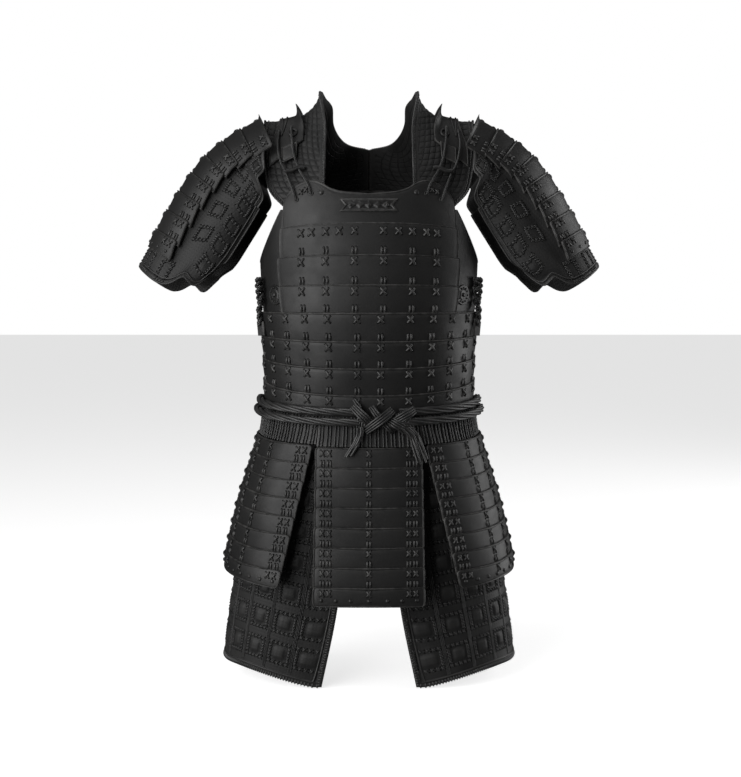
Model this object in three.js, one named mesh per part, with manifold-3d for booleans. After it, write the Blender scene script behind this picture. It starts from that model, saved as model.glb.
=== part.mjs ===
// A laced leather cuirass in the Japanese style, worn and hollow: breast and back of overlapping lames, a quilted
// yoke with a standing collar, shoulder straps, lamed arm guards on padded sleeves, a rope belt, six skirt panels
// on lacing cords, and two padded thigh guards.
// Millimetres. +Z is up, the front faces -Y, and +X is the wearer's left. The origin is the middle of the
// shoulder line, where the wearer's shoulders carry the weight.
import * as THREE from 'three';
import { mergeVertices } from 'three/addons/utils/BufferGeometryUtils.js';
import Module from 'manifold-3d';

const wasm = await Module();
wasm.setup();

// Stock and seams
const leather = 2.6; // thickness of a lame
const padding = 4; // thickness of the quilted yoke
const cloth = 3.2; // thickness of the padded sleeves and thigh guards
const gap = 0.6; // air between two pieces that lie on each other
const tuck = 7; // how far a lame reaches under the next one
const deg = Math.PI / 180;
const squareness = 2.3; // exponent of the body's oval: 2 would be an ellipse

// Colours of the finished garment
const black = {
  leather: { color: 0x2b2b2b, roughness: 0.55, metalness: 0 },
  cloth: { color: 0x242424, roughness: 0.85, metalness: 0 },
  cord: { color: 0x303030, roughness: 0.8, metalness: 0 },
};

const armour = new THREE.Group();

function add(name, geometry, stock) {
  const mesh = new THREE.Mesh(geometry, new THREE.MeshStandardMaterial(black[stock]));
  mesh.name = name;
  armour.add(mesh);
}

const mix = (a, b, t) => a + (b - a) * t;
const point = (x, y, z) => new THREE.Vector3(x, y, z);
const range = (count) => Array.from({ length: count }, (_, i) => i);
const spread = (from, to, count) => range(count + 1).map((i) => mix(from, to, i / count));

// A smooth function through one named column of a table, read against the column that sorts it.
function through(rows, key, name) {
  const at = rows.map((row) => row[key]);
  const value = rows.map((row) => row[name]);
  const last = rows.length - 1;
  const slope = (i) => {
    const [a, b] = [Math.max(0, i - 1), Math.min(last, i + 1)];
    return (value[b] - value[a]) / (at[b] - at[a]);
  };
  return (x) => {
    const inside = Math.min(Math.max(x, at[0]), at[last]);
    let i = 0;
    while (i < last - 1 && inside > at[i + 1]) i += 1;
    const width = at[i + 1] - at[i];
    const t = (inside - at[i]) / width;
    const [h1, h2] = [t * t * (3 - 2 * t), t * (1 - t) * (1 - t)];
    const h3 = t * t * (t - 1);
    return mix(value[i], value[i + 1], h1) + width * (h2 * slope(i) + h3 * slope(i + 1));
  };
}

// A wall as one closed solid. The function at gives the point for a column, a row and a depth from
// 0, the inner face, to 1, the outer face.
function wall(columns, rows, at) {
  const [across, up] = [columns.length, rows.length];
  const positions = [];
  for (const depth of [1, 0])
    for (const v of rows) for (const u of columns) positions.push(...at(u, v, depth).toArray());
  const id = (i, j, face) => face * across * up + j * across + i;
  const faces = [];
  const quad = (a, b, c, d) => faces.push(a, b, c, a, c, d);
  for (let j = 0; j < up - 1; j += 1)
    for (let i = 0; i < across - 1; i += 1) {
      quad(id(i, j, 0), id(i + 1, j, 0), id(i + 1, j + 1, 0), id(i, j + 1, 0));
      quad(id(i, j, 1), id(i, j + 1, 1), id(i + 1, j + 1, 1), id(i + 1, j, 1));
    }
  for (let i = 0; i < across - 1; i += 1) {
    quad(id(i, 0, 1), id(i + 1, 0, 1), id(i + 1, 0, 0), id(i, 0, 0));
    quad(id(i, up - 1, 0), id(i + 1, up - 1, 0), id(i + 1, up - 1, 1), id(i, up - 1, 1));
  }
  for (let j = 0; j < up - 1; j += 1) {
    quad(id(0, j, 1), id(0, j, 0), id(0, j + 1, 0), id(0, j + 1, 1));
    quad(id(across - 1, j, 0), id(across - 1, j, 1), id(across - 1, j + 1, 1), id(across - 1, j + 1, 0));
  }
  const geometry = new THREE.BufferGeometry();
  geometry.setAttribute('position', new THREE.Float32BufferAttribute(positions, 3));
  geometry.setIndex(faces);
  return facingOut(geometry);
}

// Turns the faces round where they enclose a negative volume, as on a mirrored piece.
function facingOut(geometry) {
  const { position } = geometry.attributes;
  const index = geometry.index.array;
  const [a, b, c] = [point(), point(), point()];
  let volume = 0;
  for (let i = 0; i < index.length; i += 3) {
    a.fromBufferAttribute(position, index[i]);
    b.fromBufferAttribute(position, index[i + 1]);
    c.fromBufferAttribute(position, index[i + 2]);
    volume += a.dot(b.cross(c));
  }
  if (volume < 0)
    for (let i = 0; i < index.length; i += 3) [index[i], index[i + 1]] = [index[i + 1], index[i]];
  return geometry;
}

// A round cord along a list of points.
function cord(points, radius, steps, sides = 8) {
  const section = new THREE.Shape().absarc(0, 0, radius, 0, 2 * Math.PI);
  const path = new THREE.CatmullRomCurve3(points);
  return new THREE.ExtrudeGeometry(section, {
    steps,
    extrudePath: path,
    curveSegments: sides / 2,
    bevelEnabled: false,
  });
}

function solid(geometry) {
  const bare = geometry.clone();
  bare.deleteAttribute('normal');
  bare.deleteAttribute('uv');
  const merged = mergeVertices(bare, 1e-3);
  return new wasm.Manifold(
    new wasm.Mesh({
      numProp: 3,
      vertProperties: merged.attributes.position.array,
      triVerts: new Uint32Array(merged.index.array),
    }),
  );
}

// Several closed shapes that touch, as one closed shape.
function joined(geometries) {
  const whole = geometries.map(solid).reduce((sum, next) => sum.add(next));
  const mesh = whole.getMesh();
  const geometry = new THREE.BufferGeometry();
  geometry.setAttribute('position', new THREE.BufferAttribute(new Float32Array(mesh.vertProperties), 3));
  geometry.setIndex(Array.from(mesh.triVerts));
  return geometry;
}

// A point of an oval round the body's axis. Angle 0 is the front, 90 the wearer's left and 180 the back;
// out moves the point along the oval's outward normal.
function onOval(angle, halfWidth, halfDepth, z, out) {
  const [s, c] = [Math.sin(angle * deg), Math.cos(angle * deg)];
  const bend = 2 / squareness;
  const x = halfWidth * Math.sign(s) * Math.abs(s) ** bend;
  const y = -halfDepth * Math.sign(c) * Math.abs(c) ** bend;
  const nx = (Math.sign(x) * Math.abs(x / halfWidth) ** (squareness - 1)) / halfWidth;
  const ny = (Math.sign(y) * Math.abs(y / halfDepth) ** (squareness - 1)) / halfDepth;
  const length = Math.hypot(nx, ny);
  return point(x + (out * nx) / length, y + (out * ny) / length, z);
}

// The angle at which an oval of this half width reaches this far to the side.
const angleOf = (x, halfWidth) => Math.asin((x / halfWidth) ** (squareness / 2)) / deg;

// The torso: the oval that the lames' lower edges lie on, at each height
const torsoRows = [
  { z: -480, halfWidth: 168, halfDepth: 118 },
  { z: -430, halfWidth: 167.5, halfDepth: 120 },
  { z: -390, halfWidth: 168, halfDepth: 124.5 },
  { z: -345, halfWidth: 170, halfDepth: 128.5 },
  { z: -300, halfWidth: 174, halfDepth: 130 },
  { z: -260, halfWidth: 177, halfDepth: 129.5 },
  { z: -215, halfWidth: 178.5, halfDepth: 126.5 },
  { z: -165, halfWidth: 176, halfDepth: 120 },
  { z: -130, halfWidth: 172, halfDepth: 112 },
  { z: -95, halfWidth: 168, halfDepth: 102 },
  { z: -40, halfWidth: 164, halfDepth: 92 },
];
const torsoWidth = through(torsoRows, 'z', 'halfWidth');
const torsoDepth = through(torsoRows, 'z', 'halfDepth');
const onTorso = (angle, z, out) => onOval(angle, torsoWidth(z), torsoDepth(z), z, out);

// Angles from one edge to the other, through the multiples of one step, so that laid pieces share their facets.
function fan(from, to, step = 7.5) {
  const angles = [from];
  for (let a = Math.ceil(from / step) * step; a < to - step / 4; a += step)
    if (a > from + step / 4) angles.push(a);
  return [...angles, to];
}

// A height that changes from the middle of the front or back to the side, as a straight strip rises or dips
// when it is laid round a barrel.
const level = (middle, side) => (angle) => mix(middle, side, 1 - Math.abs(Math.cos(angle * deg)));

// Top edges of the lames, from the breast down, at the middle and at the side
const lameRows = [
  { name: 'chest_lame_1', middle: -162, side: -183.5, halfAngle: 48.2 },
  { name: 'chest_lame_2', middle: -211, side: -224.5, halfAngle: 49.4 },
  { name: 'chest_lame_3', middle: -257.5, side: -263.5, halfAngle: 49 },
  { name: 'waist_lame_1', middle: -301, side: -298.5, halfAngle: 89.93 },
  { name: 'waist_lame_2', middle: -345, side: -335, halfAngle: 89.93 },
  { name: 'waist_lame_3', middle: -387, side: -370, halfAngle: 89.93 },
  { name: 'waist_lame_4', middle: -429, side: -406, halfAngle: 89.93 },
  { name: 'hem', middle: -476, side: -446, halfAngle: 0 },
];
const stand = (leather + gap) / (1 - tuck / 50); // how far a lame's top edge stands out over its foot

lameRows.slice(0, -1).forEach((row, i) => {
  const top = level(row.middle, row.side);
  const next = lameRows[i + 1];
  const foot = level(next.middle - (i < 6 ? tuck : 0), next.side - (i < 6 ? tuck : 0));
  const at = (angle, v, depth) => onTorso(angle, mix(foot(angle), top(angle), v), stand * v + leather * depth);
  add(row.name, wall(fan(-row.halfAngle, row.halfAngle), [0, 1], at), 'leather');
  add(`back_${row.name}`, wall(fan(180 - row.halfAngle, 180 + row.halfAngle), [0, 1], at), 'leather');
});

// The breast plate's neckline and shoulder tabs, by distance from the middle
const neckline = [
  { x: 0, z: -116.5 },
  { x: 40, z: -113 },
  { x: 60, z: -107.5 },
  { x: 72, z: -100.5 },
  { x: 84, z: -95.5 },
  { x: 96, z: -94.5 },
  { x: 108, z: -98 },
  { x: 119, z: -105.5 },
  { x: 128, z: -116 },
  { x: 136, z: -136 },
];
const plateHalfAngle = 48.2;
const plateRows = [0, 0.5, 1];
const plateFoot = level(lameRows[0].middle - tuck, lameRows[0].side - tuck);
const chestTop = through(neckline, 'x', 'z');
const breastWidth = 172; // half width of the torso at the neckline
add(
  'chest_plate',
  wall(fan(-plateHalfAngle, plateHalfAngle, 3.75), plateRows, (angle, v, depth) => {
    const x = breastWidth * Math.abs(Math.sin(angle * deg)) ** (2 / squareness);
    return onTorso(angle, mix(plateFoot(angle), chestTop(x), v), leather * depth);
  }),
  'leather',
);
const backTop = level(-92, -150); // the back plate's top edge, tucked under the yoke
add(
  'back_plate',
  wall(fan(180 - plateHalfAngle, 180 + plateHalfAngle), plateRows, (angle, v, depth) =>
    onTorso(angle, mix(plateFoot(angle), backTop(angle), v), leather * depth),
  ),
  'leather',
);

// Side plates: under the ends of the chest lames, cut to a deep armhole
const armhole = { foot: -218, curve: 0.054, highest: -139, frontAngle: 46.5 };
const armholeEdge = (angle) => Math.min(armhole.highest, armhole.foot + armhole.curve * (angle - 90) ** 2);
for (const [name, side] of [['left', 1], ['right', -1]])
  add(
    `side_plate_${name}`,
    wall(fan(armhole.frontAngle, 180 - armhole.frontAngle), [0, 0.33, 0.67, 1], (angle, v, depth) => {
      const foot = level(lameRows[3].middle - 2 * tuck, lameRows[3].side - 2 * tuck)(angle);
      const z = mix(foot, armholeEdge(angle), v);
      return onTorso(side * angle, z, leather * (depth - 1) - gap);
    }),
    'leather',
  );

// A small swallow-tailed plate on the breast
const badge = { halfLength: 45, notch: 8, middle: -135, halfHeight: 10, thickness: 1.6 };
add(
  'chest_badge',
  wall(spread(-1, 1, 8), [-1, 0, 1], (u, v, depth) => {
    const z = badge.middle + badge.halfHeight * v;
    const x = Math.abs(u) * (badge.halfLength - badge.notch * (1 - Math.abs(v)));
    const angle = Math.sign(u) * angleOf(x, torsoWidth(z));
    return onTorso(angle, z, leather + gap / 2 + badge.thickness * depth);
  }),
  'leather',
);

// The yoke: one quilted half on each shoulder, from the breast over the shoulder to the middle of the back.
// Each row is a section from the rim, by the arm, over a bend to the neck edge, which stands up as a collar.
const yokeRows = [
  { s: 0, rimX: 131, rimY: -78, rimZ: -137, bendX: 100, bendY: -91, bendZ: -128, neckX: 70, neckY: -98, neckZ: -113 },
  { s: 1, rimX: 155, rimY: -70, rimZ: -113, bendX: 103, bendY: -80, bendZ: -92, neckX: 69, neckY: -87, neckZ: -77 },
  { s: 2, rimX: 164, rimY: -62, rimZ: -88, bendX: 103, bendY: -69, bendZ: -58, neckX: 68.5, neckY: -73, neckZ: -42 },
  { s: 3, rimX: 171, rimY: -50, rimZ: -42, bendX: 96, bendY: -52, bendZ: -22, neckX: 69, neckY: -56, neckZ: 0 },
  { s: 4, rimX: 169, rimY: -28, rimZ: 0, bendX: 90, bendY: -28, bendZ: 2, neckX: 78, neckY: -32, neckZ: 51 },
  { s: 5, rimX: 171, rimY: 0, rimZ: 9, bendX: 88, bendY: 0, bendZ: 6, neckX: 71, neckY: -6, neckZ: 46 },
  { s: 6, rimX: 169, rimY: 28, rimZ: 1, bendX: 86, bendY: 26, bendZ: 0, neckX: 61.5, neckY: 20, neckZ: 37 },
  { s: 7, rimX: 164, rimY: 56, rimZ: -42, bendX: 80, bendY: 52, bendZ: -25, neckX: 60, neckY: 42, neckZ: 12 },
  { s: 8, rimX: 140, rimY: 82, rimZ: -92, bendX: 70, bendY: 76, bendZ: -52, neckX: 50, neckY: 66, neckZ: -6 },
  { s: 9, rimX: 92, rimY: 106, rimZ: -112, bendX: 45, bendY: 98, bendZ: -68, neckX: 33, neckY: 86, neckZ: -17 },
  { s: 10, rimX: 0.4, rimY: 117, rimZ: -116, bendX: 0.4, bendY: 103, bendZ: -70, neckX: 0.4, neckY: 94, neckZ: -23 },
];
const yokeColumn = Object.fromEntries(
  Object.keys(yokeRows[0]).map((name) => [name, through(yokeRows, 's', name)]),
);

function yokeSurface(s, w) {
  const [rim, bend, neck] = ['rim', 'bend', 'neck'].map((edge) =>
    point(...['X', 'Y', 'Z'].map((axis) => yokeColumn[edge + axis](s))),
  );
  return rim
    .multiplyScalar((1 - w) ** 2)
    .addScaledVector(bend, 2 * w * (1 - w))
    .addScaledVector(neck, w * w);
}

// A point over the yoke's outer face, on the wearer's left.
function onYoke(s, w, out) {
  const h = 0.01;
  const [s0, s1] = [Math.max(0, s - h), Math.min(10, s + h)];
  const [w0, w1] = [Math.max(0, w - h), Math.min(1, w + h)];
  const alongShoulder = yokeSurface(s1, w).sub(yokeSurface(s0, w));
  const toNeck = yokeSurface(s, w1).sub(yokeSurface(s, w0));
  const normal = alongShoulder.cross(toNeck).normalize();
  return yokeSurface(s, w).addScaledVector(normal, out);
}

const mirrored = (p, side) => point(side * p.x, p.y, p.z);
const channels = { count: 6, depth: 1.2 }; // quilted channels that run along the shoulder
const yokeAcross = spread(0, 1, 2 * channels.count);
const yokeAlong = spread(0, 10, 16);

function yokeHalf(side) {
  return wall(yokeAlong, yokeAcross, (s, w, depth) => {
    const groove = Math.abs(Math.cos(w * channels.count * Math.PI));
    const p = onYoke(s, w, -padding * (1 - depth) - channels.depth * groove * depth);
    // The two halves meet in a straight seam at the middle of the back.
    return mirrored(s === 10 ? point(yokeRows[10].rimX, p.y, p.z) : p, side);
  });
}

// Shoulder straps: curved plates on the yoke, with a flange that stands up beside the neck
const strapRows = [
  { s: 2.3, armW: 0.07, neckW: 0.55, flange: 0 },
  { s: 3, armW: 0.1, neckW: 0.56, flange: 4 },
  { s: 3.6, armW: 0.15, neckW: 0.52, flange: 11 },
  { s: 4.3, armW: 0.17, neckW: 0.47, flange: 18 },
  { s: 5.2, armW: 0.17, neckW: 0.46, flange: 16 },
  { s: 6.2, armW: 0.17, neckW: 0.48, flange: 6 },
  { s: 7, armW: 0.16, neckW: 0.5, flange: 0 },
  { s: 8.2, armW: 0.14, neckW: 0.5, flange: 0 },
];
const strapColumn = Object.fromEntries(
  Object.keys(strapRows[0]).map((name) => [name, through(strapRows, 's', name)]),
);
const strap = { thickness: 3, slant: 0.45 };

function strapPlate(side) {
  const across = [0, 0.35, 0.7, 0.86, 1];
  return wall(spread(2.3, 8.2, 16), across, (s, w, depth) => {
    const shift = strap.slant * w * Math.max(0, 1 - (s - 2.3) / 2);
    const reach = mix(strapColumn.armW(s), strapColumn.neckW(s), w);
    const rise = strapColumn.flange(s) * Math.max(0, (w - 0.7) / 0.3) ** 2;
    return mirrored(onYoke(s + shift, reach, gap + rise + strap.thickness * depth), side);
  });
}

// Two cords and a toggle tie each strap to the breast plate
const tie = { cordRadius: 1.7, clear: 2.4, toggleRadius: 3.6, toggleStart: 111, toggleEnd: 141 };
const tieRows = [
  { s: 3.55, neckCordW: 0.42, armCordW: 0.24, over: 3 + gap },
  { s: 2.9, neckCordW: 0.46, armCordW: 0.23, over: 3.4 + gap },
  { s: 2.2, neckCordW: 0.5, armCordW: 0.26, over: 4 },
  { s: 1.5, neckCordW: 0.54, armCordW: 0.32, over: 3.4 },
];

function shoulderTie(side) {
  const ends = [{ key: 'neckCordW', x: 89, z: -116 }, { key: 'armCordW', x: 112, z: -125 }];
  const cords = ends.map(({ key, x, z }) => {
    const upper = tieRows.map((row) => onYoke(row.s, row[key], row.over + tie.clear));
    const lower = [-14, 0].map((rise) =>
      onTorso(angleOf(x - rise / 3, torsoWidth(z)), z - rise, leather + tie.cordRadius + gap - rise / 6),
    );
    return cord([...upper, ...lower].map((p) => mirrored(p, side)), tie.cordRadius, 9, 6);
  });
  const middle = onYoke(2.05, 0.38, 0);
  const bar = [tie.toggleStart, tie.toggleEnd].map((x, i) => point(side * x, middle.y - 8.5, middle.z + 3 - 6 * i));
  return joined([...cords, cord(bar, tie.toggleRadius, 2, 8)]);
}

// Arms: the outline of the left arm guard's back, from the shoulder to its lowest lame
const armRows = [
  { length: 0, x: 171, z: 16 },
  { length: 46, x: 213, z: -4 },
  { length: 82, x: 243, z: -24 },
  { length: 119, x: 271, z: -48 },
  { length: 181, x: 309, z: -98 },
  { length: 255, x: 347, z: -161 },
  { length: 330, x: 384, z: -226 },
];
const armX = through(armRows, 'length', 'x');
const armZ = through(armRows, 'length', 'z');
const armRadius = 78;

// A point round the arm: along it by length, round it by angle from the outer side to the front, and in by depth.
function onArm(length, angle, sunk) {
  const h = 0.5;
  const inside = Math.min(Math.max(length, h), armRows[6].length - h);
  const [dx, dz] = [armX(inside + h) - armX(inside - h), armZ(inside + h) - armZ(inside - h)];
  const run = Math.hypot(dx, dz);
  const outward = point(-dz / run, 0, dx / run);
  const beyond = length - inside;
  const axis = point(armX(inside) + (beyond * dx) / run, 0, armZ(inside) + (beyond * dz) / run);
  axis.addScaledVector(outward, -armRadius);
  const radius = armRadius - sunk;
  return axis
    .addScaledVector(outward, radius * Math.cos(angle * deg))
    .add(point(0, -radius * Math.sin(angle * deg), 0));
}

// Arm lames: eight a side, narrower towards the elbow; the first has a raised crest
const armLame = { count: 8, first: 5, pitch: 36, topAngle: 77, footAngle: 71, last: 33, crest: 8 };

function armLameSolid(side, i) {
  const start = armLame.first + i * armLame.pitch;
  const end = start + (i < armLame.count - 1 ? armLame.pitch + tuck : armLame.last);
  const half = mix(armLame.topAngle, armLame.footAngle, i / (armLame.count - 1));
  const rows = [[0, 0.12, 0.5, 1], [0, 0.5, 1]][i] ?? [0, 1];
  return wall(spread(-1, 1, 10), rows, (u, v, depth) => {
    const crest = i === 0 && v === 0 ? armLame.crest * Math.cos(u * 1.3) : 0;
    const length = mix(start, end, v);
    const sunk = stand * v + leather * (1 - depth) - crest;
    return mirrored(onArm(length, half * u, sunk), side);
  });
}

// Soft squares stitched on the padded sleeves and thigh guards swell a little at their centres.
const swell = 2;
const centresAndGaps = (centres) =>
  centres.flatMap((c, i) => (i ? [(centres[i - 1] + c) / 2, c] : [c]));
const isCentre = (value, centres) => centres.some((c) => Math.abs(value - c) < 0.001);

// Padded sleeves, open on the inner side: how far round they reach, and where the scalloped hem lies
const sleeveEdge = [
  { length: 8, angle: 62 },
  { length: 22, angle: 84 },
  { length: 34, angle: 103 },
  { length: 50, angle: 108 },
  { length: 62, angle: 110 },
  { length: 67, angle: 118 },
  { length: 76, angle: 130 },
  { length: 96, angle: 137 },
  { length: 160, angle: 143 },
  { length: 232, angle: 143 },
  { length: 264, angle: 139 },
  { length: 300, angle: 132 },
];
const sleeveHem = [
  { share: 0, length: 325 },
  { share: 0.3, length: 329 },
  { share: 0.56, length: 331 },
  { share: 0.65, length: 323 },
  { share: 0.73, length: 304 },
  { share: 0.78, length: 305 },
  { share: 0.87, length: 307 },
  { share: 0.94, length: 295 },
  { share: 1, length: 268 },
];
const sleeveReach = through(sleeveEdge, 'length', 'angle');
const hemAt = through(sleeveHem, 'share', 'length');
const sleeveTop = 5.8;
const backDrop = 9; // the hem hangs this much lower at the back

// Squares in two columns each side of the arm, by angle, and in rows, by length; the column nearer
// the crest of the arm is set higher
const sleeveSquares = { columns: [93, 121], rows: [92, 142, 192, 242, 286], higher: 17 };

function sleeve(side) {
  const half = [0, 0.2, 0.4, 0.56, ...centresAndGaps(sleeveSquares.columns).map((a) => a / 143), 0.94, 1];
  const shares = [...half.slice(1).map((x) => -x).reverse(), ...half];
  const down = [sleeveTop, 20, 32, 46, 62, ...centresAndGaps(sleeveSquares.rows), 306, sleeveHem[0].length];
  const under = leather + stand + gap; // below the lames' feet
  return wall(shares, down, (share, flat, depth) => {
    const drop = backDrop * Math.min(1, Math.max(0, -share) / 0.4);
    const hem = hemAt(Math.abs(share)) + drop;
    const [crestward, inward] = sleeveSquares.columns;
    const beside = Math.min(1, Math.max(0, (inward - Math.abs(share) * 143) / (inward - crestward)));
    const v = (flat - sleeveTop) / (sleeveHem[0].length - sleeveTop);
    const higher = sleeveSquares.higher * beside * Math.min(1, 4 * v, 7 * (1 - v));
    const length = mix(sleeveTop, hem, v) - higher;
    const raised = isCentre(Math.abs(share) * 143, sleeveSquares.columns) && isCentre(flat, sleeveSquares.rows);
    const out = raised ? swell * depth : 0;
    const p = onArm(length, share * sleeveReach(length), under + cloth * (1 - depth) - out);
    return mirrored(p, side);
  });
}

// Side ties: a twisted lace over each side seam, knotted thick at its top and ending in a leather tab
const sideTie = { angle: 70, top: -247, foot: -322, turns: 3, laceRadius: 3 };
const tieShape = {
  knot: { twist: 4.4, out: 7.1 },
  low: { twist: 2.6, out: 11.8 },
};
const sideTab = { half: 7, foot: -337, top: -316, turn: 37 };

function sideLace(side) {
  const laces = [0, 180].map((phase) =>
    cord(
      spread(0, 1, 22).map((t) => {
        const turn = (phase + 360 * sideTie.turns * t) * deg;
        const z = mix(sideTie.top, sideTie.foot, t);
        const below = Math.min(1, Math.max(0, (t - 0.5) / 0.18));
        const twist = mix(tieShape.knot.twist, tieShape.low.twist, below);
        const out = mix(tieShape.knot.out, tieShape.low.out, below);
        const p = onTorso(sideTie.angle, z, out + twist * Math.cos(turn));
        return mirrored(p.add(point(0, twist * Math.sin(turn), 0)), side);
      }),
      sideTie.laceRadius,
      13,
      6,
    ),
  );
  const tab = wall([-1, 0, 1], [0, 1], (u, v, depth) => {
    const z = mix(sideTab.foot, sideTab.top, v);
    const reach = sideTab.half * u;
    const p = onTorso(sideTie.angle, z, tieShape.low.out - 2.4 + 4.5 * depth);
    return mirrored(p.add(point(reach * Math.cos(sideTab.turn * deg), reach * Math.sin(sideTab.turn * deg), 0)), side);
  });
  return joined([...laces, tab]);
}

// Lacing below the waist: ribbed bands of cords that carry the skirt panels
const lacing = { ribs: 1.6, base: 1.6, ribStep: 5, flare: 2 };
const bandRows = [
  { name: 'skirt_lacing_front', from: -23, to: 23, foot: [-509.4, -509.4] },
  { name: 'skirt_lacing_left', from: 24.5, to: 155.5, foot: [-507.4, -494.4] },
  { name: 'skirt_lacing_back', from: 157, to: 203, foot: [-509.4, -509.4] },
  { name: 'skirt_lacing_right', from: 204.5, to: 335.5, foot: [-507.4, -494.4] },
];
const bandTop = level(-463.5, -449);

function lacingBand({ from, to, foot }) {
  const bandFoot = level(...foot);
  const ribs = Math.round((to - from) / lacing.ribStep);
  return wall(spread(0, 2 * ribs, 2 * ribs), [0, 1], (rib, v, depth) => {
    const angle = mix(from, to, rib / (2 * ribs));
    const z = mix(bandFoot(angle), bandTop(angle), v);
    const flare = lacing.flare * (1 - v);
    const out = leather + 3 * gap + flare + depth * (lacing.base + lacing.ribs * (rib % 2));
    return onSkirt(angle, z, out - skirt.waistClear);
  });
}

// The skirt: the oval that the panels' inner faces lie on, at each height
const skirt = { waistClear: 8 };
const skirtRows = [
  { z: -770, halfWidth: 247, halfDepth: 161 },
  { z: -708, halfWidth: 236, halfDepth: 155 },
  { z: -600, halfWidth: 210, halfDepth: 142 },
  { z: -516, halfWidth: 184, halfDepth: 130 },
  { z: -480, halfWidth: 176.5, halfDepth: 126.5 },
  { z: -430, halfWidth: 175.5, halfDepth: 128 },
];
const skirtWidth = through(skirtRows, 'z', 'halfWidth');
const skirtDepth = through(skirtRows, 'z', 'halfDepth');
const onSkirt = (angle, z, out) => onOval(angle, skirtWidth(z), skirtDepth(z), z, out);

// Each panel is eight lames high. Its edges are distances from the middle at the top and at the hem.
const panelRows = [
  { name: 'front', top: -510, foot: -754, sideTop: -510, sideFoot: -754, edges: [-83, -87, 83, 87] },
  { name: 'front_left', top: -508, foot: -733, sideTop: -495, sideFoot: -713, edges: [86, 141, null, null] },
];
const panelLames = 8;
const panelSlack = 0.9; // how far the outer lame stands over the inner one

function skirtPanel(row, turn) {
  const [startTop, startFoot, endTop, endFoot] = row.edges;
  const top = level(row.top, row.sideTop);
  const foot = level(row.foot, row.sideFoot);
  const edge = (x, z) => (x === null ? 88.6 : Math.sign(x) * angleOf(Math.abs(x), skirtWidth(z)));
  const rows = range(panelLames).flatMap((i) => [
    { v: i / panelLames, out: 0 },
    { v: (i + 1) / panelLames - (i < panelLames - 1 ? 0.004 : 0), out: 1 },
  ]);
  return wall(spread(0, 1, 5), rows, (u, row2, depth) => {
    const z0 = mix(row.foot, row.top, row2.v);
    const start = edge(startTop === null ? null : mix(startFoot, startTop, row2.v), z0);
    const end = edge(endTop === null ? null : mix(endFoot, endTop, row2.v), z0);
    const angle = mix(start, end, u);
    const z = mix(foot(angle), top(angle), row2.v);
    const out = depth * (leather + (stand - panelSlack) * row2.out);
    return turn(onSkirt(angle, z, out));
  });
}

// Thigh guards: hung inside the lowest waist lame, each round the front and side of one thigh
const thighRows = [
  { z: -905, centre: 88, halfWidth: 158, halfDepth: 104, innerX: 77 },
  { z: -770, centre: 80, halfWidth: 149, halfDepth: 106, innerX: 50 },
  { z: -620, centre: 62, halfWidth: 140, halfDepth: 110, innerX: 30 },
  { z: -520, centre: 24, halfWidth: 152, halfDepth: 113, innerX: 14 },
  { z: -480, centre: 4, halfWidth: 163, halfDepth: 116.4, innerX: 8 },
  { z: -440, centre: 0, halfWidth: 166.9, halfDepth: 119, innerX: 6 },
];
const thighColumn = Object.fromEntries(
  Object.keys(thighRows[0]).map((name) => [name, through(thighRows, 'z', name)]),
);
const thigh = { top: -446, hemInner: -897, hemOuter: -868, backAngle: 102 };
// Squares in six columns, by share of the way round, and in rows, by distance up from the hem
const thighSquares = { columns: [0.076, 0.23, 0.395, 0.568, 0.736, 0.9], rows: [43, 96, 149, 202, 255] };

function thighGuard(side) {
  const across = [0, ...centresAndGaps(thighSquares.columns), 1];
  const height = thigh.top - thigh.hemInner;
  const up = [0, ...centresAndGaps(thighSquares.rows), 300, 375, height];
  return wall(across, up, (u, rise, depth) => {
    const z0 = thigh.hemInner + rise;
    const inward = (thighColumn.innerX(z0) - thighColumn.centre(z0)) / thighColumn.halfWidth(z0);
    const start = (Math.sign(inward) * Math.asin(Math.abs(inward) ** (squareness / 2))) / deg;
    const angle = mix(start, thigh.backAngle, u);
    const slant = Math.sin(Math.min(90, 1.5 * Math.max(0, angle)) * deg);
    const hem = mix(thigh.hemInner, thigh.hemOuter, slant);
    const z = mix(hem, level(-462, -438)(angle), rise / height);
    const raised = isCentre(u, thighSquares.columns) && isCentre(rise, thighSquares.rows);
    const out = cloth * (depth - 1) - gap + (raised ? swell * depth : 0);
    const p = onOval(angle, thighColumn.halfWidth(z), thighColumn.halfDepth(z), z, out);
    return mirrored(p.add(point(thighColumn.centre(z), 0, 0)), side);
  });
}

// The rope belt: two turns that meet in a knot left of the middle
const rope = { radius: 6.5, upperOut: 11.6, lowerOut: 16, knotFrom: -3.5, knotTo: 13 };
const turnRows = [
  { out: rope.upperOut, middle: -455, side: -441 },
  { out: rope.lowerOut, middle: -470.5, side: -456 },
];
const knotRows = [
  { fromX: -24, fromZ: -452, toX: 14, toZ: -476, out: 22 },
  { fromX: -4, fromZ: -450, toX: 30, toZ: -478, out: 20 },
  { fromX: 34, fromZ: -450, toX: 2, toZ: -480, out: 25 },
  { fromX: 58, fromZ: -452, toX: 26, toZ: -472, out: 22 },
  { fromX: 22, fromZ: -464, toX: 50, toZ: -475, out: 21 },
];
const ropeBelt = () => {
  const frontAngle = (x) => Math.sign(x) * angleOf(Math.abs(x), torsoWidth(-460));
  const turns = turnRows.map((row) => {
    const height = level(row.middle, row.side);
    const path = spread(rope.knotTo, 360 + rope.knotFrom, 40).map((a) => onTorso(a, height(a), row.out));
    return cord(path, rope.radius, 36, 6);
  });
  const crossings = knotRows.map(({ fromX, fromZ, toX, toZ, out }) =>
    cord(
      spread(0, 1, 4).map((t) => {
        const bulge = 5 * Math.sin(Math.PI * t);
        return onTorso(frontAngle(mix(fromX, toX, t)), mix(fromZ, toZ, t), out - 6 + bulge);
      }),
      rope.radius - 1,
      5,
      6,
    ),
  );
  return joined([...turns, ...crossings]);
};

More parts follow.
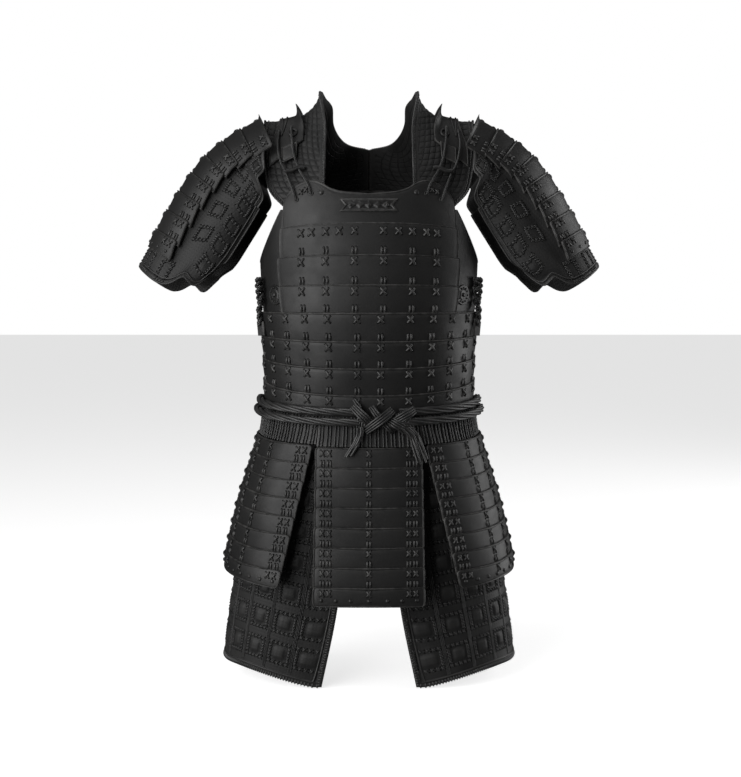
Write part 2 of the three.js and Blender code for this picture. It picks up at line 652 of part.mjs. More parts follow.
// The belt's two free ends hang over the lacing and the front panel
const endRadius = 5.4;
const endRows = {
  right: [
    { x: -13, z: -477.7, out: 13 },
    { x: -13.5, z: -488, out: 12 },
    { x: -18, z: -500, out: 12 },
    { x: -25, z: -512, out: 12.2 },
    { x: -32, z: -523, out: 11.8 },
  ],
  left: [
    { x: 56, z: -478.8, out: 13.6 },
    { x: 67, z: -491, out: 12 },
    { x: 71, z: -502, out: 12 },
    { x: 76, z: -517, out: 11.6 },
    { x: 82, z: -534, out: 10.2 },
  ],
};
const beltEnd = (rows) =>
  cord(
    rows.map(({ x, z, out }) => onSkirt(Math.sign(x) * angleOf(Math.abs(x), skirtWidth(z)), z, out)),
    endRadius,
    10,
    8,
  );

// Assembly
for (const [name, side] of [['left', 1], ['right', -1]]) {
  add(`yoke_${name}`, yokeHalf(side), 'cloth');
  add(`shoulder_strap_${name}`, strapPlate(side), 'leather');
  add(`shoulder_tie_${name}`, shoulderTie(side), 'cord');
  for (const i of range(armLame.count)) add(`arm_lame_${name}_${i + 1}`, armLameSolid(side, i), 'leather');
  add(`sleeve_${name}`, sleeve(side), 'cloth');
  add(`side_tie_${name}`, sideLace(side), 'cord');
  add(`thigh_guard_${name}`, thighGuard(side), 'cloth');
  add(`belt_end_${name}`, beltEnd(endRows[name]), 'cord');
}
bandRows.forEach((row) => add(row.name, lacingBand(row), 'cord'));
const turns = [
  ['front', panelRows[0], (p) => p],
  ['back', panelRows[0], (p) => point(-p.x, -p.y, p.z)],
  ['front_left', panelRows[1], (p) => p],
  ['front_right', panelRows[1], (p) => point(-p.x, p.y, p.z)],
  ['back_left', panelRows[1], (p) => point(p.x, -p.y, p.z)],
  ['back_right', panelRows[1], (p) => point(-p.x, -p.y, p.z)],
];
turns.forEach(([name, row, turn]) => add(`skirt_panel_${name}`, skirtPanel(row, turn), 'leather'));
add('rope_belt', ropeBelt(), 'cord');

export default armour;
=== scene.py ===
import math

import bpy
import numpy as np
from mathutils import Matrix, Vector


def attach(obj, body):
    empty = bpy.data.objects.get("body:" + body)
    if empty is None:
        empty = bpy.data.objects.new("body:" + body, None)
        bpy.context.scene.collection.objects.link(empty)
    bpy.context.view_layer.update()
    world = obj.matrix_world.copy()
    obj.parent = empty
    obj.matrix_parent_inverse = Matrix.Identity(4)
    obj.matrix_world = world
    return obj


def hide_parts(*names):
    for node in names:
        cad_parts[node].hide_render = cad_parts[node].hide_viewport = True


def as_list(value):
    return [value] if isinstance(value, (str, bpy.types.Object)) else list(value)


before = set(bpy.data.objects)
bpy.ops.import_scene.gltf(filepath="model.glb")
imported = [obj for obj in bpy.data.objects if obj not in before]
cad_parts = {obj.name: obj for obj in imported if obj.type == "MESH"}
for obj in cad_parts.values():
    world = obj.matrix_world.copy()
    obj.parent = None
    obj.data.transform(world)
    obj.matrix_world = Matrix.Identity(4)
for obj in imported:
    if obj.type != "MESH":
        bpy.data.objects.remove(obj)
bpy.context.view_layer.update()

mm = 0.001  # every table below is in millimetres
deg = math.pi / 180

# Stock and seams, the same as in the frame
leather = 2.6  # thickness of a lame
padding = 4.0  # thickness of the quilted yoke
cloth = 3.2  # thickness of the padded sleeves and thigh guards
gap = 0.6  # air between two pieces that lie on each other
tuck = 7.0  # how far a lame reaches under the next one
stand = (leather + gap) / (1 - tuck / 50)  # how far a lame's top edge stands out
squareness = 2.3  # the body's oval: 2 would be an ellipse


def mix(a, b, t):
    return a + (b - a) * t


def point(*xyz):
    return np.stack(np.broadcast_arrays(*[np.asarray(c, float) for c in xyz]), -1)


# A smooth function through a column of values, as in the frame
def smooth(at, value):
    at, value = np.array(at, float), np.array(value, float)
    last = len(at) - 1
    low = np.maximum(np.arange(last + 1) - 1, 0)
    high = np.minimum(np.arange(last + 1) + 1, last)
    slope = (value[high] - value[low]) / (at[high] - at[low])

    def read(x):
        inside = np.clip(x, at[0], at[-1])
        i = np.clip(np.searchsorted(at, inside, side="right") - 1, 0, last - 1)
        width = at[i + 1] - at[i]
        t = (inside - at[i]) / width
        h1, h2, h3 = t * t * (3 - 2 * t), t * (1 - t) ** 2, t * t * (t - 1)
        bend = width * (h2 * slope[i] + h3 * slope[i + 1])
        return mix(value[i], value[i + 1], h1) + bend

    return read


def columns(keys, rows):
    table = np.array(rows, float)
    return {key: smooth(table[:, 0], table[:, i + 1]) for i, key in enumerate(keys)}


# A point of an oval: angle 0 is the front, 90 the wearer's left; out moves it along the normal
def onOval(angle, halfWidth, halfDepth, z, out):
    s, c = np.sin(angle * deg), np.cos(angle * deg)
    bend = 2 / squareness
    x = halfWidth * np.sign(s) * np.abs(s) ** bend
    y = -halfDepth * np.sign(c) * np.abs(c) ** bend
    nx = np.sign(x) * np.abs(x / halfWidth) ** (squareness - 1) / halfWidth
    ny = np.sign(y) * np.abs(y / halfDepth) ** (squareness - 1) / halfDepth
    length = np.hypot(nx, ny)
    return point(x + out * nx / length, y + out * ny / length, z)


def angleOf(x, halfWidth):
    share = np.clip(np.abs(x) / halfWidth, 0, 1)
    return np.sign(x) * np.arcsin(share ** (squareness / 2)) / deg


def level(middle, side):
    return lambda angle: mix(middle, side, 1 - np.abs(np.cos(angle * deg)))


def mirrored(p, side):
    return p * np.array([side, 1, 1])


flips = {"left": 1, "right": -1}


# Lengths of the steps along a line of points, and how far along it each point lies
def stepsOf(line):
    return np.linalg.norm(np.diff(line, axis=0), axis=1)


def alongOf(line):
    return np.concatenate([[0], np.cumsum(stepsOf(line))])


# A rounded ridge beside an edge, and a bow that is 1 in the middle and 0 at both ends
def ridge(edge, centre, width):
    return np.exp(-(((edge - centre) / width) ** 2))


def bowed(t):
    return 4 * t * (1 - t)


# Slow unevenness of hand-worked hide, in millimetres
def unevenness(p):
    x, y, z = p[..., 0], p[..., 1], p[..., 2]
    return (
        0.5 * np.sin(x / 23 + z / 37 + 0.7)
        + 0.35 * np.sin(z / 14 - x / 19 + y / 31)
        + 0.25 * np.sin(x / 9.5 + y / 11 + z / 12.5)
    )


# The camera stands where the photograph was taken from
camera = {"place": (0.0025, -2.0, -0.300), "tilt": 3.6113, "lens": 56.16, "sensor": 36, "clip": (0.05, 40)}
lens = bpy.data.cameras.new("camera")
lens.lens, lens.sensor_width = camera["lens"], camera["sensor"]
lens.clip_start, lens.clip_end = camera["clip"]
cameraObject = bpy.data.objects.new("camera", lens)
cameraObject.location = camera["place"]
cameraObject.rotation_euler = ((90 - camera["tilt"]) * deg, 0, 0)
bpy.context.collection.objects.link(cameraObject)
bpy.context.scene.camera = cameraObject
print("camera placed")


# A node in any tree, with its settings and its inputs, each a value or another node's output
def wire(tree, kind, inputs=None, **settings):
    node = tree.nodes.new(kind)
    for key, value in settings.items():
        setattr(node, key, value)
    for key, value in (inputs or {}).items():
        if isinstance(value, bpy.types.NodeSocket):
            tree.links.new(value, node.inputs[key])
        else:
            node.inputs[key].default_value = value
    return node


def maths(tree, operation, a, b=0.0):
    return wire(tree, "ShaderNodeMath", {0: a, 1: b}, operation=operation).outputs[0]


def ramp(tree, factor, low, high, start=0.0, end=1.0):
    limits = {"Value": factor, "From Min": start, "From Max": end, "To Min": low, "To Max": high}
    return wire(tree, "ShaderNodeMapRange", limits, clamp=True).outputs["Result"]


def blendColour(tree, factor, a, b):
    return wire(tree, "ShaderNodeMix", {0: factor, 6: a, 7: b}, data_type="RGBA").outputs[2]


def stored(tree, name, output="Fac"):
    return wire(tree, "ShaderNodeAttribute", attribute_name=name).outputs[output]


def onPiece(tree):
    return tree.nodes.new("ShaderNodeTexCoord").outputs["Object"]


def noise(tree, scale, detail, roughness=0.5):
    inputs = {"Vector": onPiece(tree), "Scale": scale, "Detail": detail, "Roughness": roughness}
    return wire(tree, "ShaderNodeTexNoise", inputs).outputs["Fac"]


def cells(tree, feature, scale):
    inputs = {"Vector": onPiece(tree), "Scale": scale}
    return wire(tree, "ShaderNodeTexVoronoi", inputs, feature=feature).outputs["Distance"]


def grey(shade, warmth=0.0):
    return (shade * (1 + warmth), shade, shade * (1 - warmth), 1)


# A material is its shader's sockets, then textures that vary them
def nodeMaterial(name, base):
    material = bpy.data.materials.new(name)
    material.use_nodes = True
    shader = material.node_tree.nodes["Principled BSDF"]
    for key, value in base.items():
        shader.inputs[key].default_value = value
    return material, material.node_tree, shader


# Links the finished colour, roughness and fine relief to the shader
def dress(tree, shader, colour, rough, height, depth, strength, under=None):
    bump = {"Height": height, "Distance": depth, "Strength": strength}
    if under is not None:
        bump["Normal"] = under
    normal = wire(tree, "ShaderNodeBump", bump).outputs["Normal"]
    for key, value in {"Base Color": colour, "Roughness": rough, "Normal": normal}.items():
        tree.links.new(value, shader.inputs[key])


# Painted shade: the colour darkens to the groove shade in the grooves, and is paler where the surface stands
# up, from its relief in millimetres
def shadedGroovesPaleRidges(tree, colour, look):
    relief = stored(tree, "relief")
    sunk = blendColour(tree, ramp(tree, relief, 0.85, 0.0, -0.75, -0.05), colour, look["hollow"])
    return blendColour(tree, ramp(tree, relief, 0.0, 0.5, 0.3, 1.6), sunk, look["faded"])


# Black leather: fine grain, cloudy dye, and rims that are rubbed paler and smoother
leatherFinish = {
    # The first grey is painted shade, laid into the grooves
    "hollow": grey(0.004), "dye": grey(0.011), "faded": grey(0.024, 0.02), "rubbed": grey(0.10, 0.03),
    "grainScale": 820, "creaseScale": 210, "grainDepth": 0.00011, "rough": (0.36, 0.56), "smoother": 0.12,
}


def leatherMaterial(name, **changes):
    look = {**leatherFinish, **changes}
    material, tree, shader = nodeMaterial(name, {"Specular IOR Level": 0.4})
    clouds, patches = noise(tree, 16.0, 5.0, 0.62), noise(tree, 95.0, 3.0)
    rubbed = maths(tree, "MULTIPLY", stored(tree, "rim"), ramp(tree, patches, 0.15, 1.0, 0.38, 0.66))
    dyed = blendColour(tree, ramp(tree, clouds, 0, 1, 0.35, 0.7), look["dye"], look["faded"])
    colour = blendColour(tree, rubbed, shadedGroovesPaleRidges(tree, dyed, look), look["rubbed"])
    low, high = look["rough"]
    rough = ramp(tree, clouds, high, low, 0.3, 0.7)
    rough = maths(tree, "SUBTRACT", rough, maths(tree, "MULTIPLY", rubbed, look["smoother"]))
    creases = ramp(tree, cells(tree, "DISTANCE_TO_EDGE", look["creaseScale"]), 0, 0.5, 0, 0.08)
    height = maths(tree, "ADD", cells(tree, "SMOOTH_F1", look["grainScale"]), creases)
    height = maths(tree, "ADD", height, maths(tree, "MULTIPLY", patches, 0.8))
    dress(tree, shader, colour, rough, height, look["grainDepth"], 0.75)
    return material


# Woven cloth: threads both ways along the cut, with a dusty bloom on top
clothFinish = {
    # The first grey is painted shade, laid into the grooves and the quilted seams
    "hollow": grey(0.003), "dye": grey(0.010), "faded": grey(0.026, 0.02), "rubbed": grey(0.07, 0.03),
    "thread": 0.00085, "depth": 0.00016, "quilt": None, "quiltDepth": 0.0006,
}


# Where sewn grooves run both ways over a quilted piece: 1 in a groove, 0 on the cells
def quiltLines(tree, cut, across, up, slant, width):
    flat = wire(tree, "ShaderNodeSeparateXYZ", {"Vector": cut})
    drift = maths(tree, "MULTIPLY", flat.outputs["X"], slant)
    grooves = []
    for reach, cell in ((flat.outputs["X"], across), (maths(tree, "ADD", flat.outputs["Y"], drift), up)):
        away = maths(tree, "MULTIPLY", maths(tree, "PINGPONG", maths(tree, "DIVIDE", reach, cell), 0.5), cell)
        grooves.append(ramp(tree, away, 1.0, 0.0, width * 0.3, width))
    return maths(tree, "MULTIPLY", maths(tree, "MAXIMUM", *grooves), stored(tree, "quilted"))


def clothMaterial(name, **changes):
    look = {**clothFinish, **changes}
    sheen = {"Specular IOR Level": 0.4, "Sheen Weight": 0.08, "Sheen Roughness": 0.5}
    material, tree, shader = nodeMaterial(name, sheen)
    cut = stored(tree, "cut", "Vector")
    threads = {"Vector": cut, "Scale": 1 / look["thread"] / (2 * math.pi) * 0.314, "Distortion": 0.6}
    waves = [wire(tree, "ShaderNodeTexWave", threads, bands_direction=way).outputs for way in "XY"]
    weave = maths(tree, "MULTIPLY", *[outputs["Fac"] for outputs in waves])
    clouds, slub = noise(tree, 22.0, 6.0, 0.65), noise(tree, 420.0, 2.0)
    dyed = blendColour(tree, ramp(tree, clouds, 0, 1, 0.35, 0.72), look["dye"], look["faded"])
    rubbed = maths(tree, "MULTIPLY", stored(tree, "rim"), ramp(tree, slub, 0.1, 0.9, 0.4, 0.65))
    colour = blendColour(tree, rubbed, shadedGroovesPaleRidges(tree, dyed, look), look["rubbed"])
    height = maths(tree, "ADD", weave, maths(tree, "MULTIPLY", slub, 0.7))
    seams = None
    if look["quilt"]:
        lines = quiltLines(tree, cut, *look["quilt"])
        groove = {"Height": lines, "Distance": look["quiltDepth"], "Strength": 1.0}
        seams = wire(tree, "ShaderNodeBump", groove, invert=True).outputs["Normal"]
        # Painted shade: the quilted grooves are darkened to the groove colour
        colour = blendColour(tree, lines, colour, look["hollow"])
    dress(tree, shader, colour, ramp(tree, clouds, 0.48, 0.66), height, look["depth"], 0.9, seams)
    return material


# Waxed cord: fibres that run aslant round each strand
cordFinish = {"dye": grey(0.014), "faded": grey(0.034, 0.02), "fibre": 0.0021, "depth": 0.00014}


def cordMaterial(name, look):
    sheen = {"Specular IOR Level": 0.75, "Sheen Weight": 0.06, "Sheen Roughness": 0.45}
    material, tree, shader = nodeMaterial(name, sheen)
    along = maths(tree, "MULTIPLY", stored(tree, "along"), 1 / look["fibre"])
    turn = maths(tree, "ADD", along, maths(tree, "MULTIPLY", stored(tree, "around"), 2.0))
    fibre = maths(tree, "SINE", maths(tree, "MULTIPLY", turn, 2 * math.pi))
    fluff, clouds = noise(tree, 700.0, 3.0), noise(tree, 40.0, 4.0)
    colour = blendColour(tree, ramp(tree, clouds, 0, 1, 0.35, 0.68), look["dye"], look["faded"])
    height = maths(tree, "ADD", maths(tree, "MULTIPLY", fibre, 0.5), fluff)
    dress(tree, shader, colour, ramp(tree, fluff, 0.28, 0.5), height, look["depth"], 0.8)
    return material


finishes = {
    "leather": leatherMaterial("black leather"),
    "fitting": leatherMaterial("hard leather", rough=(0.26, 0.42), faded=grey(0.05, 0.02)),
    "lace": leatherMaterial("lace leather", rough=(0.24, 0.4), dye=grey(0.03), faded=grey(0.075, 0.02)),
    # Painted shade: the near-black dots where threads go down stand for the shadow inside the holes
    "hole": leatherMaterial("painted hole shadow", rough=(0.9, 1.0), dye=grey(0.0015), faded=grey(0.003)),
    "cloth": clothMaterial("black cloth"),
    "quilt": clothMaterial("quilted cloth", quilt=(0.0096, 0.0115, 0.5, 0.0012)),
    "cord": cordMaterial("black cord", cordFinish),
}
print("materials made")


# Object from points and faces, with its attributes, riding on the body
def place(name, points, faces, stock, replaces=(), attributes=None):
    mesh = bpy.data.meshes.new(name)
    mesh.from_pydata((np.asarray(points) * mm).tolist(), [], faces)
    for key, values in (attributes or {}).items():
        values = np.asarray(values, np.float32)
        kind = "FLOAT" if values.ndim == 1 else "FLOAT_VECTOR"
        field = "value" if values.ndim == 1 else "vector"
        mesh.attributes.new(key, kind, "POINT").data.foreach_set(field, values.ravel())
    mesh.polygons.foreach_set("use_smooth", [True] * len(mesh.polygons))
    mesh.update()
    return finished(bpy.data.objects.new(name, mesh), stock, replaces)


def finished(piece, stock, replaces=()):
    if piece.name not in bpy.context.collection.objects:
        bpy.context.collection.objects.link(piece)
    piece.data.materials.clear()
    piece.data.materials.append(finishes[stock])
    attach(piece, "root")
    {"cloth": "cloth", "quilt": "cloth", "cord": "cord"}.get(stock, "leather")
    if replaces:
        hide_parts(*replaces)
    return piece


rimSteps = (0, 0.14, 0.45, 0.9, 1.4, 2.0, 2.7, 3.5, 4.6)
rimReach = 1.9  # how far the rubbed rim fades in from an edge


# Grid lines from 0 to 1 over a length, close together at the ends where the rim is rounded
def edged(length, step, ends=rimSteps):
    first = [x for x in ends if x < length / 2]
    last = [length - x for x in first][::-1]
    count = max(1, round((last[0] - first[-1]) / step))
    inner = np.linspace(first[-1], last[0], count + 1)[1:-1]
    return np.array([*first, *inner, *last]) / length


# A wall as one closed skin whose rim is round: at gives the surface at a height over its inner face
def shell(us, vs, at, thickness, relief=None):
    u, v = np.meshgrid(us, vs)
    half = thickness / 2
    middle = at(u, v, half)
    across = np.linalg.norm(np.diff(middle, axis=1), axis=2)
    up = np.linalg.norm(np.diff(middle, axis=0), axis=2)
    x = np.concatenate([np.zeros((len(vs), 1)), np.cumsum(across, 1)], 1)
    y = np.concatenate([np.zeros((1, len(us))), np.cumsum(up, 0)], 0)
    edge = np.minimum(np.minimum(x, x[:, -1:] - x), np.minimum(y, y[-1:] - y))
    rounded = half * np.sqrt(1 - (1 - np.minimum(edge / half, 1)) ** 2)
    lift = relief(u, v, x, y, edge) if relief else 0 * edge
    outer = at(u, v, half + rounded + lift * np.minimum(edge / 1.2, 1))
    inner = at(u, v, half - rounded)
    outerId = np.arange(u.size).reshape(u.shape)
    onRim = np.ones(u.shape, bool)
    onRim[1:-1, 1:-1] = False
    innerId = np.where(onRim, outerId, u.size + np.cumsum(~onRim).reshape(u.shape) - 1)
    faces = []
    for ids, flip in ((outerId, 1), (innerId, -1)):
        quads = np.stack([ids[:-1, :-1], ids[:-1, 1:], ids[1:, 1:], ids[1:, :-1]], -1).reshape(-1, 4)
        faces.append(quads[:, ::flip])
    points = np.concatenate([outer.reshape(-1, 3), inner[~onRim]])
    both = lambda field: np.concatenate([field.ravel(), field[~onRim]])
    return {
        "points": points,
        "faces": outwards(points, np.concatenate(faces)),
        "rim": both(np.exp(-edge / rimReach)),
        "cut": np.stack([both(x), both(y), np.zeros(len(points))], -1) * mm,
        "relief": np.concatenate([lift.ravel(), 0 * lift[~onRim]]),
        "area": float((across[:-1] * up[:, :-1]).sum()) * mm ** 2,
    }


# Turns the faces round where they enclose a negative volume
def outwards(points, faces):
    a, b, c, d = (points[faces[:, i]] for i in range(4))
    volume = np.einsum("ij,ij->", a, np.cross(b, c)) + np.einsum("ij,ij->", a, np.cross(c, d))
    return faces[:, ::-1] if volume < 0 else faces


def together(shells):
    start, faces = 0, []
    for one in shells:
        faces.append(one["faces"] + start)
        start += len(one["points"])
    whole = {key: np.concatenate([s[key] for s in shells]) for key in ("points", "rim", "cut", "relief")}
    return {**whole, "faces": np.concatenate(faces)}


def wallPiece(name, stock, skin, replaces=()):
    attributes = {key: skin[key] for key in ("rim", "cut", "relief", "quilted") if key in skin}
    return place(name, skin["points"], skin["faces"].tolist(), stock, replaces, attributes)


# The finer skin of one node, in its place
def cover(node, stock, skin):
    return wallPiece(f"{node}_{stock}", stock, skin, [node])


# Geometry Nodes: each tree has named inputs and ends in Realize Instances and Set Material
def newTree(name, inputs):
    tree = bpy.data.node_groups.new(name, "GeometryNodeTree")
    tree.interface.new_socket("Geometry", in_out="INPUT", socket_type="NodeSocketGeometry")
    for label, value in inputs.items():
        kind = "NodeSocketInt" if isinstance(value, int) else "NodeSocketFloat"
        tree.interface.new_socket(label, in_out="INPUT", socket_type=kind).default_value = value
    tree.interface.new_socket("Material", in_out="INPUT", socket_type="NodeSocketMaterial")
    tree.interface.new_socket("Geometry", in_out="OUTPUT", socket_type="NodeSocketGeometry")
    return tree, tree.nodes.new("NodeGroupInput").outputs


def closeTree(tree, given, geometry):
    real = wire(tree, "GeometryNodeRealizeInstances", {"Geometry": geometry}).outputs[0]
    soft = wire(tree, "GeometryNodeSetShadeSmooth", {"Geometry": real}).outputs[0]
    dressed = wire(tree, "GeometryNodeSetMaterial", {"Geometry": soft, "Material": given["Material"]})
    wire(tree, "NodeGroupOutput", {0: dressed.outputs[0]})
    return tree


def vectorOf(tree, name):
    node = wire(tree, "GeometryNodeInputNamedAttribute", {"Name": name}, data_type="FLOAT_VECTOR")
    return node.outputs["Attribute"]


def vectors(tree, operation, inputs):
    return wire(tree, "ShaderNodeVectorMath", inputs, operation=operation).outputs[0]


def combined(tree, **axes):
    return wire(tree, "ShaderNodeCombineXYZ", axes).outputs[0]


def circle(tree, given, radius):
    inputs = {"Resolution": given["Sides"], "Radius": given[radius]}
    return wire(tree, "GeometryNodeCurvePrimitiveCircle", inputs).outputs[0]


def tubeOn(tree, curve, ring):
    inputs = {"Curve": curve, "Profile Curve": ring, "Fill Caps": True}
    return wire(tree, "GeometryNodeCurveToMesh", inputs).outputs[0]


def marked(tree, geometry, name, value):
    inputs = {"Geometry": geometry, "Name": name, "Value": value}
    return wire(tree, "GeometryNodeStoreNamedAttribute", inputs).outputs[0]


# One thing on every point, with the turn and size that the point holds
def onPoints(tree, given, thing):
    turned = wire(tree, "FunctionNodeEulerToRotation", {0: vectorOf(tree, "turn")}).outputs[0]
    spots = wire(tree, "GeometryNodeInstanceOnPoints", {
        "Points": given["Geometry"], "Instance": thing, "Rotation": turned, "Scale": vectorOf(tree, "size"),
    })
    return closeTree(tree, given, spots.outputs[0])


# A bent thread that comes out of one hole and goes down the next
def buildStitchTree():
    tree, given = newTree("stitches", thread(0.0016, 0.01, 0.003, 0.0015, 6))
    half = maths(tree, "MULTIPLY", given["Length"], 0.5)
    back = maths(tree, "MULTIPLY", half, -1.0)
    down = maths(tree, "MULTIPLY", given["Sink"], -1.0)
    bow = wire(tree, "GeometryNodeCurveQuadraticBezier", {
        "Resolution": 5, "Start": combined(tree, X=back, Z=down), "Middle": combined(tree, Z=given["Arch"]),
        "End": combined(tree, X=half, Z=down),
    })
    return onPoints(tree, given, tubeOn(tree, bow.outputs[0], circle(tree, given, "Thread radius")))


# A small dimple where a thread goes down, which carries the painted shadow inside the hole
def buildHoleTree():
    tree, given = newTree("holes", {"Hole radius": 0.001, "Rise": 0.0002, "Sides": 6})
    dot = wire(tree, "GeometryNodeMeshCone", {
        "Vertices": given["Sides"], "Radius Bottom": given["Hole radius"], "Depth": given["Rise"],
    })
    return onPoints(tree, given, dot.outputs["Mesh"])


# A domed head
def buildRivetTree():
    tree, given = newTree("rivets", domed(0.003, 0.6, 8))
    ball = wire(tree, "GeometryNodeMeshUVSphere", {
        "Segments": 12, "Rings": given["Rings"], "Radius": given["Head radius"],
    })
    flat = combined(tree, X=1.0, Y=1.0, Z=given["Dome"])
    head = wire(tree, "GeometryNodeTransform", {"Geometry": ball.outputs[0], "Scale": flat})
    return onPoints(tree, given, head.outputs[0])


# Strands laid round each path, as a rope maker lays them; one strand is a plain cord
def buildRopeTree():
    tree, given = newTree("laid rope", laid(3, 0.003, 0.003, 0.03, 0.002, 8))
    line = wire(tree, "GeometryNodeMeshToCurve", {"Mesh": given["Geometry"]}).outputs[0]
    even = wire(tree, "GeometryNodeResampleCurve", {"Curve": line, "Length": given["Step"]}, mode="LENGTH")
    strands = {"Geometry": even.outputs[0], "Amount": given["Strands"]}
    copies = wire(tree, "GeometryNodeDuplicateElements", strands, domain="SPLINE")
    reached = wire(tree, "GeometryNodeSplineParameter").outputs["Length"]
    twist = maths(tree, "DIVIDE", reached, given["Pitch"])
    phase = maths(tree, "DIVIDE", copies.outputs["Duplicate Index"], given["Strands"])
    angle = maths(tree, "MULTIPLY", maths(tree, "ADD", twist, phase), 2 * math.pi)
    normal = wire(tree, "GeometryNodeInputNormal").outputs[0]
    tangent = wire(tree, "GeometryNodeInputTangent").outputs[0]
    sideways = vectors(tree, "CROSS_PRODUCT", {0: tangent, 1: normal})
    offsets = []
    for axis, operation in ((normal, "COSINE"), (sideways, "SINE")):
        reach = maths(tree, "MULTIPLY", maths(tree, operation, angle), given["Lay radius"])
        offsets.append(vectors(tree, "SCALE", {0: axis, "Scale": reach}))
    offset = vectors(tree, "ADD", {0: offsets[0], 1: offsets[1]})
    moved = wire(tree, "GeometryNodeSetPosition", {"Geometry": copies.outputs["Geometry"], "Offset": offset})
    around = wire(tree, "GeometryNodeSplineParameter").outputs["Factor"]
    ring = marked(tree, circle(tree, given, "Strand radius"), "around", around)
    return closeTree(tree, given, tubeOn(tree, marked(tree, moved.outputs[0], "along", reached), ring))


# Values for the trees, in metres, and in this order
def laid(strands, radius, lay, pitch, step, sides):
    values = {"Strands": strands, "Strand radius": radius, "Lay radius": lay}
    return {**values, "Pitch": pitch, "Step": step, "Sides": sides}


def plain(radius, step, sides):
    return laid(1, radius, 0.0, 0.03, step, sides)


def thread(radius, length, arch, sink, sides):
    return {"Thread radius": radius, "Length": length, "Arch": arch, "Sink": sink, "Sides": sides}


def domed(radius, dome, rings):
    return {"Head radius": radius, "Dome": dome, "Rings": rings}


stitchTree, holeTree = buildStitchTree(), buildHoleTree()
rivetTree, ropeTree = buildRivetTree(), buildRopeTree()


# Runs a tree over points or lines and keeps the result as a plain mesh
def grown(name, stock, tree, values, points, edges=(), attributes=None, replaces=()):
    mesh = bpy.data.meshes.new(name + "_guide")
    mesh.from_pydata((np.asarray(points) * mm).tolist(), list(edges), [])
    for key, data in (attributes or {}).items():
        field = mesh.attributes.new(key, "FLOAT_VECTOR", "POINT")
        field.data.foreach_set("vector", np.asarray(data, np.float32).ravel())
    guide = bpy.data.objects.new(name + "_guide", mesh)
    bpy.context.collection.objects.link(guide)
    modifier = guide.modifiers.new("grown", "NODES")
    modifier.node_group = tree
    values = {"Material": finishes[stock], **values}
    for socket in tree.interface.items_tree:
        if socket.in_out == "INPUT" and socket.name in values:
            modifier[socket.identifier] = values[socket.name]
    evaluated = guide.evaluated_get(bpy.context.evaluated_depsgraph_get())
    result = bpy.data.meshes.new_from_object(evaluated)
    result.name = name
    guide.modifiers.clear()
    bpy.data.objects.remove(guide)
    return finished(bpy.data.objects.new(name, result), stock, replaces)


def ropes(name, paths, values, stock="cord", replaces=()):
    edges, start = [], 0
    for path in paths:
        edges += [(start + i, start + i + 1) for i in range(len(path) - 1)]
        start += len(path)
    return grown(name, stock, ropeTree, values, np.concatenate(paths), edges, replaces=replaces)


# Frame of a surface at a place: the point, its direction across, up and out
def frameAt(surface, a, b, step=0.01):
    p = surface(a, b, 0)
    across = surface(a + step, b, 0) - surface(a - step, b, 0)
    up = surface(a, b + step, 0) - surface(a, b - step, 0)
    across = across / np.linalg.norm(across)
    out = np.cross(across, up)
    out = out / np.linalg.norm(out)
    if np.dot(out, surface(a, b, 1) - p) < 0:
        out = -out
    up = up - across * np.dot(up, across)
    return p, across, up / np.linalg.norm(up), out


# A ring of points over a spot of a surface
def ringOn(spot, rise, radius, count):
    p, across, up, out = spot
    turn = np.linspace(0, 2 * math.pi, count)[:, None]
    return p + out * rise + radius * (np.cos(turn) * across + np.sin(turn) * up)


# Collects threads or heads with their turn and size, to be grown in one go. Laces leave holes at their ends,
# near-black dots of painted shadow.
class Marks:
    def __init__(self, length=0.0):
        self.points, self.turns, self.sizes = [], [], []
        self.length = length
        self.holes = Marks() if length else None

    def add(self, p, along, out, size=(1, 1, 1)):
        x = along / np.linalg.norm(along)
        y = np.cross(out, x)
        turn = Matrix(np.stack([x, y / np.linalg.norm(y), out], -1).tolist()).to_euler()
        self.points.append(p)
        self.turns.append(turn[:])
        self.sizes.append(size)

    # One thing on a spot, turned along the surface's across or up direction
    def on(self, spot, rise=0.0, size=(1, 1, 1), upwards=False):
        p, across, up, out = spot
        self.add(p + out * rise, up if upwards else across, out, size)

    # A crossed pair of laces
    def cross(self, spot, width, height, size=1.0):
        p, across, up, out = spot
        for slope, over in ((1, 0.0), (-1, 0.9)):
            self.lay(p, across * width + slope * up * height, out, over, size)

    # Two laces side by side
    def pair(self, spot, spacing, size=1.0):
        p, across, up, out = spot
        for side in (-0.5, 0.5):
            self.lay(p + across * side * spacing, up, out, 0.0, size)

    # One lace, and the holes at its ends
    def lay(self, p, along, out, over, size):
        along = along / np.linalg.norm(along)
        self.add(p + out * over, along, out, (size, 1, 1))
        if self.holes:
            for end in (-0.5, 0.5):
                self.holes.add(p + along * end * (size * self.length + 0.7) + out * 0.1, along, out)

    def grow(self, name, stock, tree, values):
        if self.holes:
            reach = {"Hole radius": values["Thread radius"] * 1.15, "Rise": 0.0002, "Sides": 6}
            self.holes.grow(name + "_holes", "hole", holeTree, reach)
        attributes = {"turn": self.turns, "size": self.sizes}
        return grown(name, stock, tree, values, self.points, attributes=attributes)


# The torso: the oval that the lames' lower edges lie on, at each height
torso = columns(("halfWidth", "halfDepth"), [
    (-480, 168, 118), (-430, 167.5, 120), (-390, 168, 124.5), (-345, 170, 128.5), (-300, 174, 130),
    (-260, 177, 129.5), (-215, 178.5, 126.5), (-165, 176, 120), (-130, 172, 112),
    (-95, 168, 102), (-40, 164, 92),
])


def onTorso(angle, z, out):
    return onOval(angle, torso["halfWidth"](z), torso["halfDepth"](z), z, out)


# The same by the distance from the middle, as seen from the front
def acrossTorso(x, z, out):
    return onTorso(angleOf(x, torso["halfWidth"](z)), z, out)


